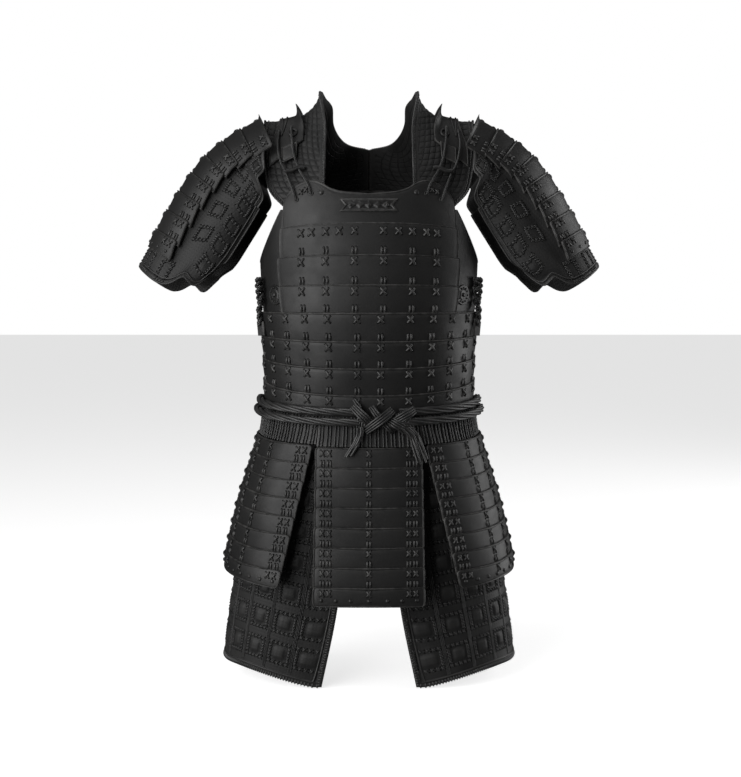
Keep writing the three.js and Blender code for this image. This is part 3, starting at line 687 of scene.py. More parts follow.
# The skirt: the oval that the panels' inner faces lie on, at each height
skirt = columns(("halfWidth", "halfDepth"), [
    (-770, 247, 161), (-708, 236, 155), (-600, 210, 142), (-516, 184, 130), (-480, 176.5, 126.5),
    (-430, 175.5, 128),
])


def onSkirt(angle, z, out):
    return onOval(angle, skirt["halfWidth"](z), skirt["halfDepth"](z), z, out)


# The belt's two free ends: bundles of thin cords that hang from the knot over the lacing
beltEnd = {
    "cordRadius": 1.75, "spacing": {"right": 3.1, "left": 3.4}, "lengths": (0.96, 1.0, 0.97, 1.0, 0.94),
    "right": [(-13, -477.7, 13), (-13.5, -488, 12), (-18, -500, 12), (-25, -512, 12.2), (-32, -523, 11.8)],
    "left": [(56, -478.8, 13.6), (67, -491, 12), (71, -502, 12), (76, -517, 11.6), (82, -534, 10.2)],
}


def makeBeltEnds(spec):
    for name in ("right", "left"):
        x, z, out = np.array(spec[name], float).T
        t = np.linspace(0, 1, len(x))
        line = [smooth(t, values) for values in (x, z, out)]
        count = 5 if name == "left" else 4
        for k, share in enumerate(spec["lengths"][:count]):
            s = np.linspace(0, share, 20)
            beside = (k - (count - 1) / 2) * spec["spacing"][name] * (0.85 + 0.25 * s)
            px, height = line[0](s) + beside, line[1](s) + 0.25 * beside
            depth = line[2](s) + 1.4 * np.cos(2.4 * k + 5 * s) - 0.5
            path = onSkirt(angleOf(px, skirt["halfWidth"](height)), height, depth) * mm
            curve = bpy.data.curves.new(f"belt_end_{name}_cord_{k + 1}", "CURVE")
            curve.dimensions, curve.bevel_depth, curve.bevel_resolution = "3D", spec["cordRadius"] * mm, 3
            curve.use_fill_caps = True
            spline = curve.splines.new("POLY")
            spline.points.add(len(path) - 1)
            spline.points.foreach_set("co", np.c_[path, np.ones(len(path))].ravel())
            spline.use_smooth = True
            strand = finished(bpy.data.objects.new(curve.name, curve), "cord", [f"belt_end_{name}"])
            length = float(stepsOf(path).sum())
            print(f"belt end {name} {k + 1}: {length * 1000:.1f} mm")


makeBeltEnds(beltEnd)


# Lames of the breast and back: top edges from the breast down, at the middle and at the side
lames = {
    "rows": [
        ("chest_lame_1", -162, -183.5, 48.2), ("chest_lame_2", -211, -224.5, 49.4),
        ("chest_lame_3", -257.5, -263.5, 49), ("waist_lame_1", -301, -298.5, 89.93),
        ("waist_lame_2", -345, -335, 89.93), ("waist_lame_3", -387, -370, 89.93),
        ("waist_lame_4", -429, -406, 89.93), ("hem", -476, -446, 0),
    ],
    "crown": 1.1, "corners": (5.0, 0.8), "bead": 0.42, "groove": 0.5, "dents": 0.28,
    "longHalf": 60,  # a lame with a larger half angle goes round the waist
    "spans": (6.2, 5.4), "cornerSpans": (3.23, 3.04),  # millimetres for a degree, on the breast and the waist
    "laces": thread(0.0019, 0.0126, 0.0036, 0.001, 8), "long": 12.6, "cross": (0.65, 0.76), "pair": (5.2, 0.78),
    "crossDrops": {"chest_lame_1": 13, "others": 10.5}, "pairRise": 5.4,
    "crossAngles": {
        "chest_lame_1": [5.2, 12, 18.6, 26.3, 32.5], "chest": [5.2, 18.6, 32],
        "waist": [4.3, 18.1, 31.1, 44.6, 58.9, 73.8],
    },
}


# A rounded bead along the rim, and the line that is pressed in beside it
def rimRelief(spec):
    bead, groove = spec["bead"], spec["groove"]
    return lambda u, v, x, y, edge: bead * ridge(edge, 1.5, 0.9) - groove * ridge(edge, 3.4, 0.55)


# How far a rounded corner draws the side edge in, at a distance from the end
def cornerInset(distance, radius):
    near = np.clip(radius - distance, 0, radius)
    return radius - np.sqrt(np.maximum(radius ** 2 - near ** 2, 0))


def lameSurface(spec, i, centre):
    middle, side, half = spec["rows"][i][1:]
    long = half > spec["longHalf"]
    below = 0 if i == len(spec["rows"]) - 2 else tuck
    top = level(middle, side)
    foot = level(*[edge - below for edge in spec["rows"][i + 1][1:3]])
    halfLength = spec["cornerSpans"][long] * half
    radius = spec["corners"][long]

    def at(u, v, lift):
        height = top(centre) - foot(centre)
        inset = cornerInset((1 - v) * height, radius) / halfLength
        angle = centre + half * u * (1 - inset)
        z = mix(foot(angle), top(angle), v)
        base = onTorso(angle, z, 0.0)
        out = stand * v + (spec["crown"] + spec["dents"] * unevenness(base)) * bowed(v)
        return onTorso(angle, z, out + lift)

    return at, top, foot


def makeLames(spec):
    laces = Marks(spec["long"])
    relief = rimRelief(spec)
    for i, (name, *_, half) in enumerate(spec["rows"][:-1]):
        for prefix, centre in (("", 0), ("back_", 180)):
            at, top, foot = lameSurface(spec, i, centre)
            us = 2 * edged(spec["spans"][half > spec["longHalf"]] * half, 4.4) - 1
            vs = edged(top(centre) - foot(centre), 4.2)
            cover(prefix + name, "leather", shell(us, vs, at, leather, relief))
            kind = name if name in spec["crossAngles"] else name[:5]
            angles = spec["crossAngles"][kind]
            pairs = spec["crossAngles"]["chest"] if name == "chest_lame_1" else angles
            nextTop = level(*spec["rows"][i + 1][1:3])
            drop = spec["crossDrops"].get(name, spec["crossDrops"]["others"])

            def surface(angle, rise, lift):
                v = (rise - foot(angle)) / (top(angle) - foot(angle))
                return at((angle - centre) / half, v, leather + lift)

            for sign in (-1, 1):
                for a in angles:
                    angle = centre + sign * a
                    laces.cross(frameAt(surface, angle, top(angle) - drop), *spec["cross"])
                if name == "waist_lame_4":
                    continue
                for a in pairs:
                    angle = centre + sign * a
                    laces.pair(frameAt(surface, angle, nextTop(angle) + spec["pairRise"]), *spec["pair"])
    laces.grow("lame_laces", "lace", stitchTree, spec["laces"])


makeLames(lames)
print("lames laced")

# A disc on a surface, from rings of radius and height
def disc(surface, a, b, perA, rings, sides=40):
    turn = np.arange(sides) * 2 * math.pi / sides
    points, faces = [], []
    for radius, lift in rings:
        points.append(surface(a + radius * np.cos(turn) * perA, b + radius * np.sin(turn), lift))
    count = len(rings)
    for j in range(count - 1):
        for i in range(sides):
            k = (i + 1) % sides
            faces.append((j * sides + i, j * sides + k, (j + 1) * sides + k, (j + 1) * sides + i))
    faces += [tuple(range(sides)), tuple(reversed(range((count - 1) * sides, count * sides)))]
    return np.concatenate(points), faces


# Breast, back and side plates
plates = {
    "neckline": (
        [0, 40, 60, 72, 84, 96, 108, 119, 128, 136],
        [-116.5, -113, -107.5, -100.5, -95.5, -94.5, -98, -105.5, -116, -136],
    ),
    "breastWidth": 172, "halfAngle": 48.2, "backTop": (-92, -150), "dents": 0.35,
    "armhole": {"foot": -218, "curve": 0.054, "highest": -139, "frontAngle": 46.5},
    "studs": [(73.4, -114.5)], "stud": domed(0.0042, 0.62, 8), "studSize": (1.05, 1.05, 1.0),
    "holes": [(89, -116), (112, -125)], "eyelet": plain(0.001, 0.001, 8), "eyeletRadius": 3.1,
    "bead": 0.5, "groove": 0.45,
}


def plateAt(spec, topAt, centre=0):
    foot = level(lames["rows"][0][1] - tuck, lames["rows"][0][2] - tuck)

    def at(u, v, lift):
        angle = centre + spec["halfAngle"] * u
        z = mix(foot(angle), topAt(angle), v)
        dent = spec["dents"] * unevenness(onTorso(angle, z, 0.0)) * bowed(v)
        return onTorso(angle, z, lift + dent)

    return at


def makePlates(spec):
    relief = rimRelief(spec)
    neckline = smooth(*spec["neckline"])
    chestTop = lambda angle: neckline(spec["breastWidth"] * np.abs(np.sin(angle * deg)) ** (2 / squareness))
    us, vs = 2 * edged(300, 2.6) - 1, edged(62, 2.6)
    skin = shell(us, vs, plateAt(spec, chestTop), leather, relief)
    wallPiece("breast_plate_leather", "leather", skin, ["chest_plate"])
    backAt = plateAt(spec, level(*spec["backTop"]), 180)
    cover("back_plate", "leather", shell(us, vs, backAt, leather, relief))
    hole = spec["armhole"]
    first = lames["rows"][3]
    for name, side in flips.items():
        def at(u, v, lift):
            angle = mix(hole["frontAngle"], 180 - hole["frontAngle"], u)
            foot = level(first[1] - 2 * tuck, first[2] - 2 * tuck)(angle)
            edge = np.minimum(hole["highest"], hole["foot"] + hole["curve"] * (angle - 90) ** 2)
            z = mix(foot, edge, v)
            dent = 0.4 * (unevenness(onTorso(angle, z, 0.0)) - 1) * bowed(v)
            return mirrored(onTorso(angle, z, -leather - gap + lift + dent), side)

        skin = shell(edged(290, 4.2), edged(110, 4.2), at, leather, relief)
        cover(f"side_plate_{name}", "leather", skin)
    heads, rings = Marks(), []
    onChest = lambda x, z, lift: acrossTorso(x, z, leather + lift)
    for side in (-1, 1):
        for x, z in spec["studs"]:
            heads.on(frameAt(onChest, side * x, z), 0.0, spec["studSize"])
        for x, z in spec["holes"]:
            rings.append(ringOn(frameAt(onChest, side * x, z), 0.5, spec["eyeletRadius"], 25))
    heads.grow("breast_studs", "fitting", rivetTree, spec["stud"])
    ropes("breast_eyelets", rings, spec["eyelet"], "fitting")


makePlates(plates)

# A small swallow-tailed plate on the breast, with a beaded border and a plain row of lozenges
badge = {
    "halfLength": 45, "notch": 8, "middle": -135, "halfHeight": 10, "thickness": 1.6,
    "lozenge": {"pitch": 14, "long": 6.4, "high": 5.6, "height": 2.2},
    "heads": (-28, 0, 28), "head": domed(0.0032, 0.7, 8),
}


def makeBadge(spec):
    over = leather + gap / 2
    shape = spec["lozenge"]

    def at(u, v, lift):
        z = spec["middle"] + spec["halfHeight"] * v
        x = u * (spec["halfLength"] - spec["notch"] * (1 - np.abs(v)))
        return acrossTorso(x, z, over + lift)

    def relief(u, v, x, y, edge):
        border = 0.55 * ridge(edge, 2.4, 0.7)
        half = shape["pitch"] / 2
        across = np.abs((u * (spec["halfLength"] - 4) + half) % shape["pitch"] - half)
        slope = 1.15 - across / shape["long"] - np.abs(v) * spec["halfHeight"] / shape["high"]
        return border + np.where(edge > 4.0, shape["height"] * np.clip(slope, 0, 0.6) - 0.5, 0)

    us, vs = (np.unique(np.append(2 * edged(size, 0.9) - 1, 0)) for size in (90, 20))
    wallPiece("breast_badge", "fitting", shell(us, vs, at, spec["thickness"], relief), ["chest_badge"])
    heads = Marks()
    onBadge = lambda x, z, lift: acrossTorso(x, z, over + spec["thickness"] + lift)
    for x in spec["heads"]:
        heads.on(frameAt(onBadge, x + 0.01, spec["middle"]))
    heads.grow("badge_studs", "fitting", rivetTree, spec["head"])


makeBadge(badge)

# Rosettes at the sides of the breast: plain dished discs with a ring of beads
rosette = {
    "angle": 55.4, "z": -273, "radius": 16.2, "beads": 12, "ring": 11.2, "bead": domed(0.0034, 0.8, 6),
    "beadSize": (0.52, 0.52, 0.6), "middleSize": (1.1, 1.1, 0.9),
    "rings": [  # distance in from the rim, and height
        (0, -0.6), (0, 0.9), (0.6, 1.9), (1.8, 2.1), (2.9, 1.5), (5, 1.3), (7.6, 1.5), (8.6, 2.3), (9.8, 2.1),
        (11, 1.6), (12.8, 1.7), (16, 1.8),
    ],
}


def makeRosettes(spec):
    heads = Marks()
    middle, z = spec["angle"], spec["z"]
    for name, side in flips.items():
        surface = lambda a, z, lift: mirrored(onTorso(a, z, -gap + lift), side)
        perMillimetre = 1 / np.linalg.norm(surface(middle + 0.5, z, 0) - surface(middle - 0.5, z, 0))
        rings = [(spec["radius"] - inset, height) for inset, height in spec["rings"]]
        points, faces = disc(surface, middle, z, perMillimetre, rings)
        place(f"rosette_{name}", points, faces, "fitting")
        for turn in np.arange(spec["beads"]) * 2 * math.pi / spec["beads"]:
            a = middle + spec["ring"] * math.cos(turn) * perMillimetre
            heads.on(frameAt(surface, a, z + spec["ring"] * math.sin(turn)), 1.4, spec["beadSize"])
        heads.on(frameAt(surface, middle, z), 1.6, spec["middleSize"])
    heads.grow("rosette_beads", "fitting", rivetTree, spec["bead"])


makeRosettes(rosette)
print("plates made")

# The yoke: a section from the rim, by the arm, over a bend to the neck edge, at each place along the shoulder
yokeTable = columns(("rimX", "rimY", "rimZ", "bendX", "bendY", "bendZ", "neckX", "neckY", "neckZ"), [
    (0, 131, -78, -137, 100, -91, -128, 70, -98, -113), (1, 155, -70, -113, 103, -80, -92, 69, -87, -77),
    (2, 164, -62, -88, 103, -69, -58, 68.5, -73, -42), (3, 171, -50, -42, 96, -52, -22, 69, -56, 0),
    (4, 169, -28, 0, 90, -28, 2, 78, -32, 51), (5, 171, 0, 9, 88, 0, 6, 71, -6, 46),
    (6, 169, 28, 1, 86, 26, 0, 61.5, 20, 37), (7, 164, 56, -42, 80, 52, -25, 60, 42, 12),
    (8, 140, 82, -92, 70, 76, -52, 50, 66, -6), (9, 92, 106, -112, 45, 98, -68, 33, 86, -17),
    (10, 0.4, 117, -116, 0.4, 103, -70, 0.4, 94, -23),
])


def yokeSurface(s, w):
    lines = ("rim", "bend", "neck")
    rim, bend, neck = (point(*[yokeTable[line + axis](s) for axis in "XYZ"]) for line in lines)
    w = np.asarray(w, float)[..., None]
    return rim * (1 - w) ** 2 + bend * 2 * w * (1 - w) + neck * w * w


def onYoke(s, w, out):
    s, w, out = (np.asarray(a, float) for a in (s, w, out))
    h = 0.01
    along = yokeSurface(np.minimum(10, s + h), w) - yokeSurface(np.maximum(0, s - h), w)
    toNeck = yokeSurface(s, np.minimum(1, w + h)) - yokeSurface(s, np.maximum(0, w - h))
    normal = np.cross(along, toNeck)
    normal /= np.linalg.norm(normal, axis=-1, keepdims=True)
    return yokeSurface(s, w) + normal * out[..., None]


def roll(edge, centre, half, height):
    t = np.clip((edge - centre) / half, -1, 1)
    return height * np.sqrt(1 - t * t)


yoke = {
    "cell": (9.6, 11.5), "slant": 0.5, "pillow": 1.2, "swell": 0.45, "sunk": 0.9, "border": 11.0,
    "pipings": [(2.7, 2.4, 1.0), (7.6, 2.2, 0.9)], "pipingSunk": 0.45, "fill": 0.45,
    "bindingHalf": 6, "bindingThickness": 1.8,
    "cordEdges": (0.012, 0.988), "edgeCord": laid(2, 0.0011, 0.001, 0.007, 0.0012, 6),
    "stitchEdges": (0.05, 0.95), "stitchStep": 4.6, "stitch": thread(0.0009, 0.0036, 0.0016, 0.0003, 5),
}


def makeYoke(spec):
    quilted = lambda edge: np.clip((edge - spec["border"] + 1.5) / 1.5, 0, 1)

    def relief(u, v, x, y, edge):
        p, q = x / spec["cell"][0], (y + spec["slant"] * x) / spec["cell"][1]
        soft = (np.abs(np.sin(math.pi * p)) * np.abs(np.sin(math.pi * q))) ** spec["swell"]
        piping = sum(roll(edge, *row) for row in spec["pipings"]) - spec["pipingSunk"]
        return mix(piping, spec["pillow"] * soft - spec["sunk"], quilted(edge))

    for name, side in flips.items():
        def at(w, s, lift):
            p = onYoke(s, w, lift - padding)
            p[..., 0] = np.maximum(p[..., 0], 0.35)
            return mirrored(p, side)

        skin = shell(edged(118, 2.2), 10 * edged(540, 2.3), at, padding, relief)
        skin["quilted"] = quilted(-rimReach * np.log(skin["rim"]))
        half = cover(f"yoke_{name}", "quilt", skin)

    # The binding over the seam at the middle of the back
    def bound(x, w, lift):
        p = onYoke(10 + 0 * w, w, lift + 0.2)
        p[..., 0] = x
        return p

    us, vs = spec["bindingHalf"] * (2 * edged(12, 1.2) - 1), mix(0.01, 0.99, edged(110, 2))
    wallPiece("yoke_back_binding", "cloth", shell(us, vs, bound, spec["bindingThickness"]))
    lines, marks = [], Marks()
    s = np.linspace(0.15, 9.85, 170)
    for side in (1, -1):
        lines += [mirrored(onYoke(s, w + 0 * s, 0.6), side) for w in spec["cordEdges"]]
        surface = lambda w, s, lift: mirrored(onYoke(s, w, lift), side)
        for w in spec["stitchEdges"]:
            reach = alongOf(onYoke(s, w + 0 * s, 0))
            for at in np.interp(np.arange(3, reach[-1] - 3, spec["stitchStep"]), reach, s):
                marks.on(frameAt(surface, w, at), 0.7, upwards=True)
    ropes("yoke_edge_cords", lines, spec["edgeCord"])
    marks.grow("yoke_stitching", "cord", stitchTree, spec["stitch"])


makeYoke(yoke)
print("yoke quilted")

# Shoulder straps: curved plates on the yoke, with a flange that stands up beside the neck
strapTable = columns(("armW", "neckW", "flange"), [
    (2.3, 0.07, 0.55, 0), (3, 0.1, 0.56, 4), (3.6, 0.15, 0.52, 11), (4.3, 0.17, 0.47, 18),
    (5.2, 0.17, 0.46, 16), (6.2, 0.17, 0.48, 6), (7, 0.16, 0.5, 0), (8.2, 0.14, 0.5, 0),
])
strap = {
    "thickness": 3.0, "slant": 0.45, "bead": 0.6, "groove": 0.5, "length": (2.3, 8.2),
    "bars": {"from": 4.4, "to": 3.2, "starts": (0.12, 0.34), "end": 0.26, "bend": 1.3, "over": 0.5},
    "ring": {"w": 0.62, "s": 3.05, "over": 1.2, "radius": 6.2},
    "tongue": {"s": (2.16, 2.76), "w": (0.24, 0.47), "over": 4.6, "thickness": 2.2},
}


def onStrap(s, w, lift):
    s, w = np.asarray(s, float), np.asarray(w, float)
    shift = strap["slant"] * w * np.maximum(0, 1 - (s - 2.3) / 2)
    reach = mix(strapTable["armW"](s), strapTable["neckW"](s), w)
    rise = strapTable["flange"](s) * np.maximum(0, (w - 0.7) / 0.3) ** 2
    return onYoke(s + shift, reach, gap + rise + lift)


def makeStraps(spec):
    relief = rimRelief(spec)
    bar, ring, tongue = spec["bars"], spec["ring"], spec["tongue"]
    bars, rings = [], []
    for name, side in flips.items():
        at = lambda w, s, lift: mirrored(onStrap(s, w, lift), side)
        skin = shell(edged(52, 2.2), mix(*spec["length"], edged(330, 3.2)), at, spec["thickness"], relief)
        cover(f"shoulder_strap_{name}", "leather", skin)
        for start in bar["starts"]:
            t = np.linspace(0, 1, 26)
            w = mix(start, bar["end"], t ** bar["bend"])
            bars.append(at(w, mix(bar["from"], bar["to"], t), spec["thickness"] + bar["over"] + 0 * t))
        surface = lambda w, s, lift: at(w, s, spec["thickness"] + lift)
        rings.append(ringOn(frameAt(surface, ring["w"], ring["s"]), ring["over"], ring["radius"], 33))

        def onTongue(u, v, lift):
            return mirrored(onYoke(mix(*tongue["s"], v), mix(*tongue["w"], u), tongue["over"] + lift), side)

        skin = shell(edged(19, 1.2), edged(17, 1.2), onTongue, tongue["thickness"], relief)
        wallPiece(f"strap_tongue_{name}", "fitting", skin)
    ropes("strap_bars", bars, plain(0.0015, 0.0015, 10), "fitting")
    ropes("strap_rings", rings, plain(0.0018, 0.001, 10), "fitting")


makeStraps(strap)

# Two cords and a toggle tie each strap to the breast plate
shoulderTie = {
    "cordRadius": 1.7, "clear": 2.4, "cords": laid(3, 0.00095, 0.00095, 0.009, 0.0012, 7),
    "rows": [(3.5, 0.36, 0.2, 4.2), (2.9, 0.39, 0.2, 7.5), (2.2, 0.44, 0.24, 7.5), (1.5, 0.51, 0.31, 4.0)],
    "ends": [(89, -116), (112, -125)], "crosses": [(97, -110), (105, -113)], "cross": (0.62, 0.8, 0.75),
    "lace": 11.0, "laces": thread(0.0014, 0.011, 0.0028, 0.0008, 6),
    "toggle": (101, 131), "toggleBow": 1.6, "toggleValues": plain(0.0035, 0.001, 14),
}


def curveThrough(points, count):
    points = np.asarray(points, float)
    t = np.concatenate([[0], np.cumsum(np.linalg.norm(np.diff(points, axis=0), axis=1))])
    s = np.linspace(0, t[-1], count)
    return point(*[smooth(t, points[:, i])(s) for i in range(3)])


def makeShoulderTies(spec):
    crosses = Marks(spec["lace"])
    lift = leather + spec["cordRadius"] + gap
    for name, side in flips.items():
        onPlate = lambda angle, z, lift: mirrored(onTorso(angle, z, leather + gap + lift), side)
        for x, z in spec["crosses"]:
            crosses.cross(frameAt(onPlate, angleOf(x, torso["halfWidth"](z)), z), *spec["cross"])
        paths = []
        for k, (x, z) in enumerate(spec["ends"]):
            upper = [onYoke(row[0], row[1 + k], row[3] + spec["clear"]) for row in spec["rows"]]
            lower = []
            for rise in (-14, 0):
                angle = angleOf(x - rise / 3, torso["halfWidth"](z))
                lower.append(onTorso(angle, z - rise, lift - rise / 6))
            tail = onTorso(angleOf(x, torso["halfWidth"](z)), z - 1.5, 0.5)
            paths.append(mirrored(curveThrough([*upper, *lower, tail], 60), side))
        ropes(f"shoulder_tie_{name}_cords", paths, spec["cords"], "cord", [f"shoulder_tie_{name}"])
        middle = onYoke(2.05, 0.38, 0.0)
        t = np.linspace(0, 1, 30)
        z = middle[2] - 9 - 4 * t + spec["toggleBow"] * np.sin(2 * math.pi * t)
        bar = point(side * mix(*spec["toggle"], t), middle[1] - 13 + 0 * t, z)
        ropes(f"shoulder_toggle_{name}", [bar], spec["toggleValues"], "fitting")
    crosses.grow("shoulder_laces", "lace", stitchTree, spec["laces"])


makeShoulderTies(shoulderTie)
print("straps tied")

# Arms: the outline of the left arm guard's back, from the shoulder to its lowest lame
armTable = columns(("x", "z"), [
    (0, 171, 16), (46, 213, -4), (82, 243, -24), (119, 271, -48), (181, 309, -98),
    (255, 347, -161), (330, 384, -226),
])
arm = {
    "radius": 78, "length": 330, "count": 8, "first": 5, "pitch": 36, "last": 33,
    "topAngle": 77, "footAngle": 71, "crest": 8,
    "bead": 0.95, "groove": 0.5, "corner": 3.0, "crown": 1.0, "step": 0.05, "perDegree": 1.36,
    "laceLength": 12.2, "laces": thread(0.0016, 0.0122, 0.0029, 0.0008, 6), "laceInsets": (8.5, 17.5),
    "cross": (0.62, 0.8, 0.82), "crossAt": 9.5, "pair": (4.6, 0.66), "pairAt": 5.0,
    "rivets": 9, "rivetInset": 10, "rivet": domed(0.0028, 0.65, 6),
}


def onArm(length, angle, sunk):
    length, angle, sunk = np.broadcast_arrays(*[np.asarray(a, float) for a in (length, angle, sunk)])
    h = 0.5
    inside = np.clip(length, h, arm["length"] - h)
    dx = armTable["x"](inside + h) - armTable["x"](inside - h)
    dz = armTable["z"](inside + h) - armTable["z"](inside - h)
    run = np.hypot(dx, dz)
    beyond = length - inside
    radius = arm["radius"] - sunk
    reach = radius * np.cos(angle * deg) - arm["radius"]
    x = armTable["x"](inside) + beyond * dx / run - reach * dz / run
    z = armTable["z"](inside) + beyond * dz / run + reach * dx / run
    return point(x, -radius * np.sin(angle * deg), z)


def makeArmLames(spec):
    laces, heads = Marks(spec["laceLength"]), Marks()
    relief = rimRelief(spec)
    for name, side in flips.items():
        for i in range(spec["count"]):
            last = i == spec["count"] - 1
            start = spec["first"] + i * spec["pitch"]
            end = start + (spec["last"] if last else spec["pitch"] + tuck)
            half = mix(spec["topAngle"], spec["footAngle"], i / (spec["count"] - 1))

            def at(u, v, lift):
                crest = spec["crest"] * np.cos(u * 1.3) * np.maximum(0, 1 - v / 0.14) ** 1.6 if i == 0 else 0
                ends = np.minimum(v, 1 - v) if last else v
                inset = cornerInset(ends * (end - start), spec["corner"]) / (half * spec["perDegree"])
                angle = half * u * (1 - inset) * (1 + spec["step"] * (v - 0.3))
                sunk = stand * v + leather - lift - crest - spec["crown"] * bowed(v)
                return mirrored(onArm(mix(start, end, v), angle, sunk), side)

            us = 2 * edged(2 * half * spec["perDegree"], 4.4) - 1
            skin = shell(us, edged(end - start, 4.2), at, leather, relief)
            cover(f"arm_lame_{name}_{i + 1}", "leather", skin)

            def surface(angle, length, lift):
                return at(angle / half, (length - start) / (end - start), leather + lift)

            insets = [half - inset for inset in spec["laceInsets"]]
            for angle in (*insets, 0.0, *[-inset for inset in insets[::-1]]):
                laces.cross(frameAt(surface, angle, start + spec["crossAt"]), *spec["cross"])
                if not last:
                    laces.pair(frameAt(surface, angle, start + spec["pitch"] - spec["pairAt"]), *spec["pair"])
            if last:
                inset = spec["rivetInset"]
                for share in np.linspace(-1, 1, spec["rivets"]):
                    heads.on(frameAt(surface, (half - inset) * share, end - inset))
    laces.grow("arm_laces", "lace", stitchTree, spec["laces"])
    heads.grow("arm_rivets", "fitting", rivetTree, spec["rivet"])


makeArmLames(arm)
print("arm lames laced")


# A stitched square: a soft raised middle in a flat sewn band. Shares of its half width and half height.
stitchedSquare = {
    "corner": 5, "soft": 0.55, "slope": 0.24, "flatter": 0.3, "groove": (0.58, 0.08), "grooveDepth": 0.2,
    "band": 0.83, "reach": (0.96, 0.62), "cross": (0.7, 0.7), "holeShifts": (-2.3, 2.3), "holeLift": 0.12,
    "thread": thread(0.0009, 0.0064, 0.0021, 0.0006, 4),
    "hole": {"Hole radius": 0.0015, "Rise": 0.00015, "Sides": 6},
}


def squareRelief(du, dv, halfWidth, halfHeight, height):
    spec = stitchedSquare
    power = spec["corner"]
    d = ((np.abs(du) / halfWidth) ** power + (np.abs(dv) / halfHeight) ** power) ** (1 / power)
    t = np.clip((spec["soft"] - d) / spec["slope"], 0, 1)
    raised = t * t * (3 - 2 * t) * (1 - spec["flatter"] * d)
    return height * (raised - spec["grooveDepth"] * ridge(d, *spec["groove"]))


# Crossed stitches in the band round a square, and near-black dots of painted shadow for the holes that they go
# down
def sewSquare(marks, holes, surface, a, b, perA, halfWidth, halfHeight, count):
    spec = stitchedSquare
    band = spec["band"]
    for sideways, sign in ((True, -1), (True, 1), (False, -1), (False, 1)):
        reach = spec["reach"][0] * halfWidth if sideways else spec["reach"][1] * halfHeight
        for k in range(2 * count + 1):
            t = k / count - 1
            x, y = (t * reach, sign * band * halfHeight) if sideways else (sign * band * halfWidth, t * reach)
            spot = frameAt(surface, a + x * perA, b + y)
            if k % 2:
                marks.cross(spot, *spec["cross"])
                continue
            p, across, up, out = spot
            for shift in spec["holeShifts"]:
                at = p + (up if sideways else across) * shift
                holes.add(at + out * spec["holeLift"], across, out)


def growSewing(name, marks, holes):
    return [
        marks.grow(f"{name}_sewing", "cord", stitchTree, stitchedSquare["thread"]),
        holes.grow(f"{name}_holes", "hole", holeTree, stitchedSquare["hole"]),
    ]


# Padded sleeves, open on the inner side, with a scalloped hem and stitched squares
sleeve = {
    "reach": (
        [8, 22, 34, 50, 62, 67, 76, 96, 160, 232, 264, 300],
        [58, 78, 96, 100, 102, 110, 121, 127, 133, 133, 129, 123],
    ),
    "hem": ([0, 0.32, 0.6, 0.7, 0.785, 0.84, 0.925, 0.97, 1], [325, 329, 331, 323, 304, 305, 307, 295, 268]),
    "top": 5.8, "foot": 325, "backDrop": 9, "columns": (99, 125), "higher": 17, "height": 0.5,
    "half": 143, "perUnit": 1.36,  # degrees from the crest to the open edge, and millimetres for each of them
    "rows": ([42, 92, 142, 192, 242], [50, 101, 151, 200, 245, 287]),
    "hemSquares": [(82, 309), (45, 309), (9, 309)], "square": (13.0, 14.5),
    "pipings": [(1.6, 0.0013, 0.4), (8.5, 0.0011, 0.7)],
    "flare": ([0, 69, 85, 95, 127, 143], [0, -0.5, -4.5, -3.5, 9, 15]),
    "rim": (0, 0.14, 0.5, 1.1, 1.9, 2.8, 3.7, 4.5, 5.2, 6.0, 6.9, 7.8, 8.6, 9.6),
}


def makeSleeves(spec):
    reach, hemAt, flare = smooth(*spec["reach"]), smooth(*spec["hem"]), smooth(*spec["flare"])
    under, half = leather + stand + gap, spec["half"]
    crestward, inward = spec["columns"]
    squares = [(column, row) for column, rows in zip(spec["columns"], spec["rows"]) for row in rows]
    squares += spec["hemSquares"]
    us = 2 * edged(350, 3.3, spec["rim"]) - 1
    vs = mix(spec["top"], spec["foot"], edged(320, 3.3, spec["rim"]))
    clothes = []
    for name, side in flips.items():
        def at(share, flat, lift):
            hem = hemAt(np.abs(share)) + spec["backDrop"] * np.clip(-share / 0.4, 0, 1)
            v = (flat - spec["top"]) / (spec["foot"] - spec["top"])
            beside = np.clip((inward - np.abs(share) * half) / (inward - crestward), 0, 1)
            ends = np.minimum(1, np.minimum(4 * v, 7 * (1 - v)))
            length = mix(spec["top"], hem, v) - spec["higher"] * beside * ends
            out = lift + flare(np.abs(share) * half) * np.clip(6 * v, 0, 1) * np.clip(9 * (1 - v), 0.3, 1)
            return mirrored(onArm(length, share * reach(length), under + cloth - out), side)

        def relief(u, v, x, y, edge):
            total = roll(edge, 2.4, 2.2, 1.2) + roll(edge, 6.8, 1.8, 0.8) - 0.9 * ridge(edge, 10.4, 0.9)
            for column, row in squares:
                du = (np.abs(u) * half - column) * spec["perUnit"]
                total = total + squareRelief(du, v - row, *spec["square"], spec["height"])
            return total

        skin = shell(us, vs, at, cloth, relief)
        piece = cover(f"sleeve_{name}", "cloth", skin)
        marks, holes = Marks(), Marks()
        surface = lambda share, flat, lift: at(share, flat, cloth + lift)
        for sign in (-1, 1):
            for column, row in squares:
                a = sign * column / half
                sewSquare(marks, holes, surface, a, row, 1 / half / spec["perUnit"], *spec["square"], 4)
        trims = growSewing(f"sleeve_{name}", marks, holes)
        for k, (inset, radius, over) in enumerate(spec["pipings"]):
            share, low = 1 - inset / half / spec["perUnit"], spec["foot"] - inset
            down, across = np.linspace(spec["top"] + 4, low, 130), np.linspace(share, -share, 150)[1:-1]
            stretches = ((share, down), (across, low), (-share, down[::-1]))
            line = np.concatenate([at(u, v, cloth + over) for u, v in stretches])
            trims.append(ropes(f"sleeve_{name}_piping_{k + 1}", [line], plain(radius, 0.002, 7), "lace"))
        clothes.append((piece, trims, skin))
    return clothes


sleeves = makeSleeves(sleeve)
print("sleeves sewn")

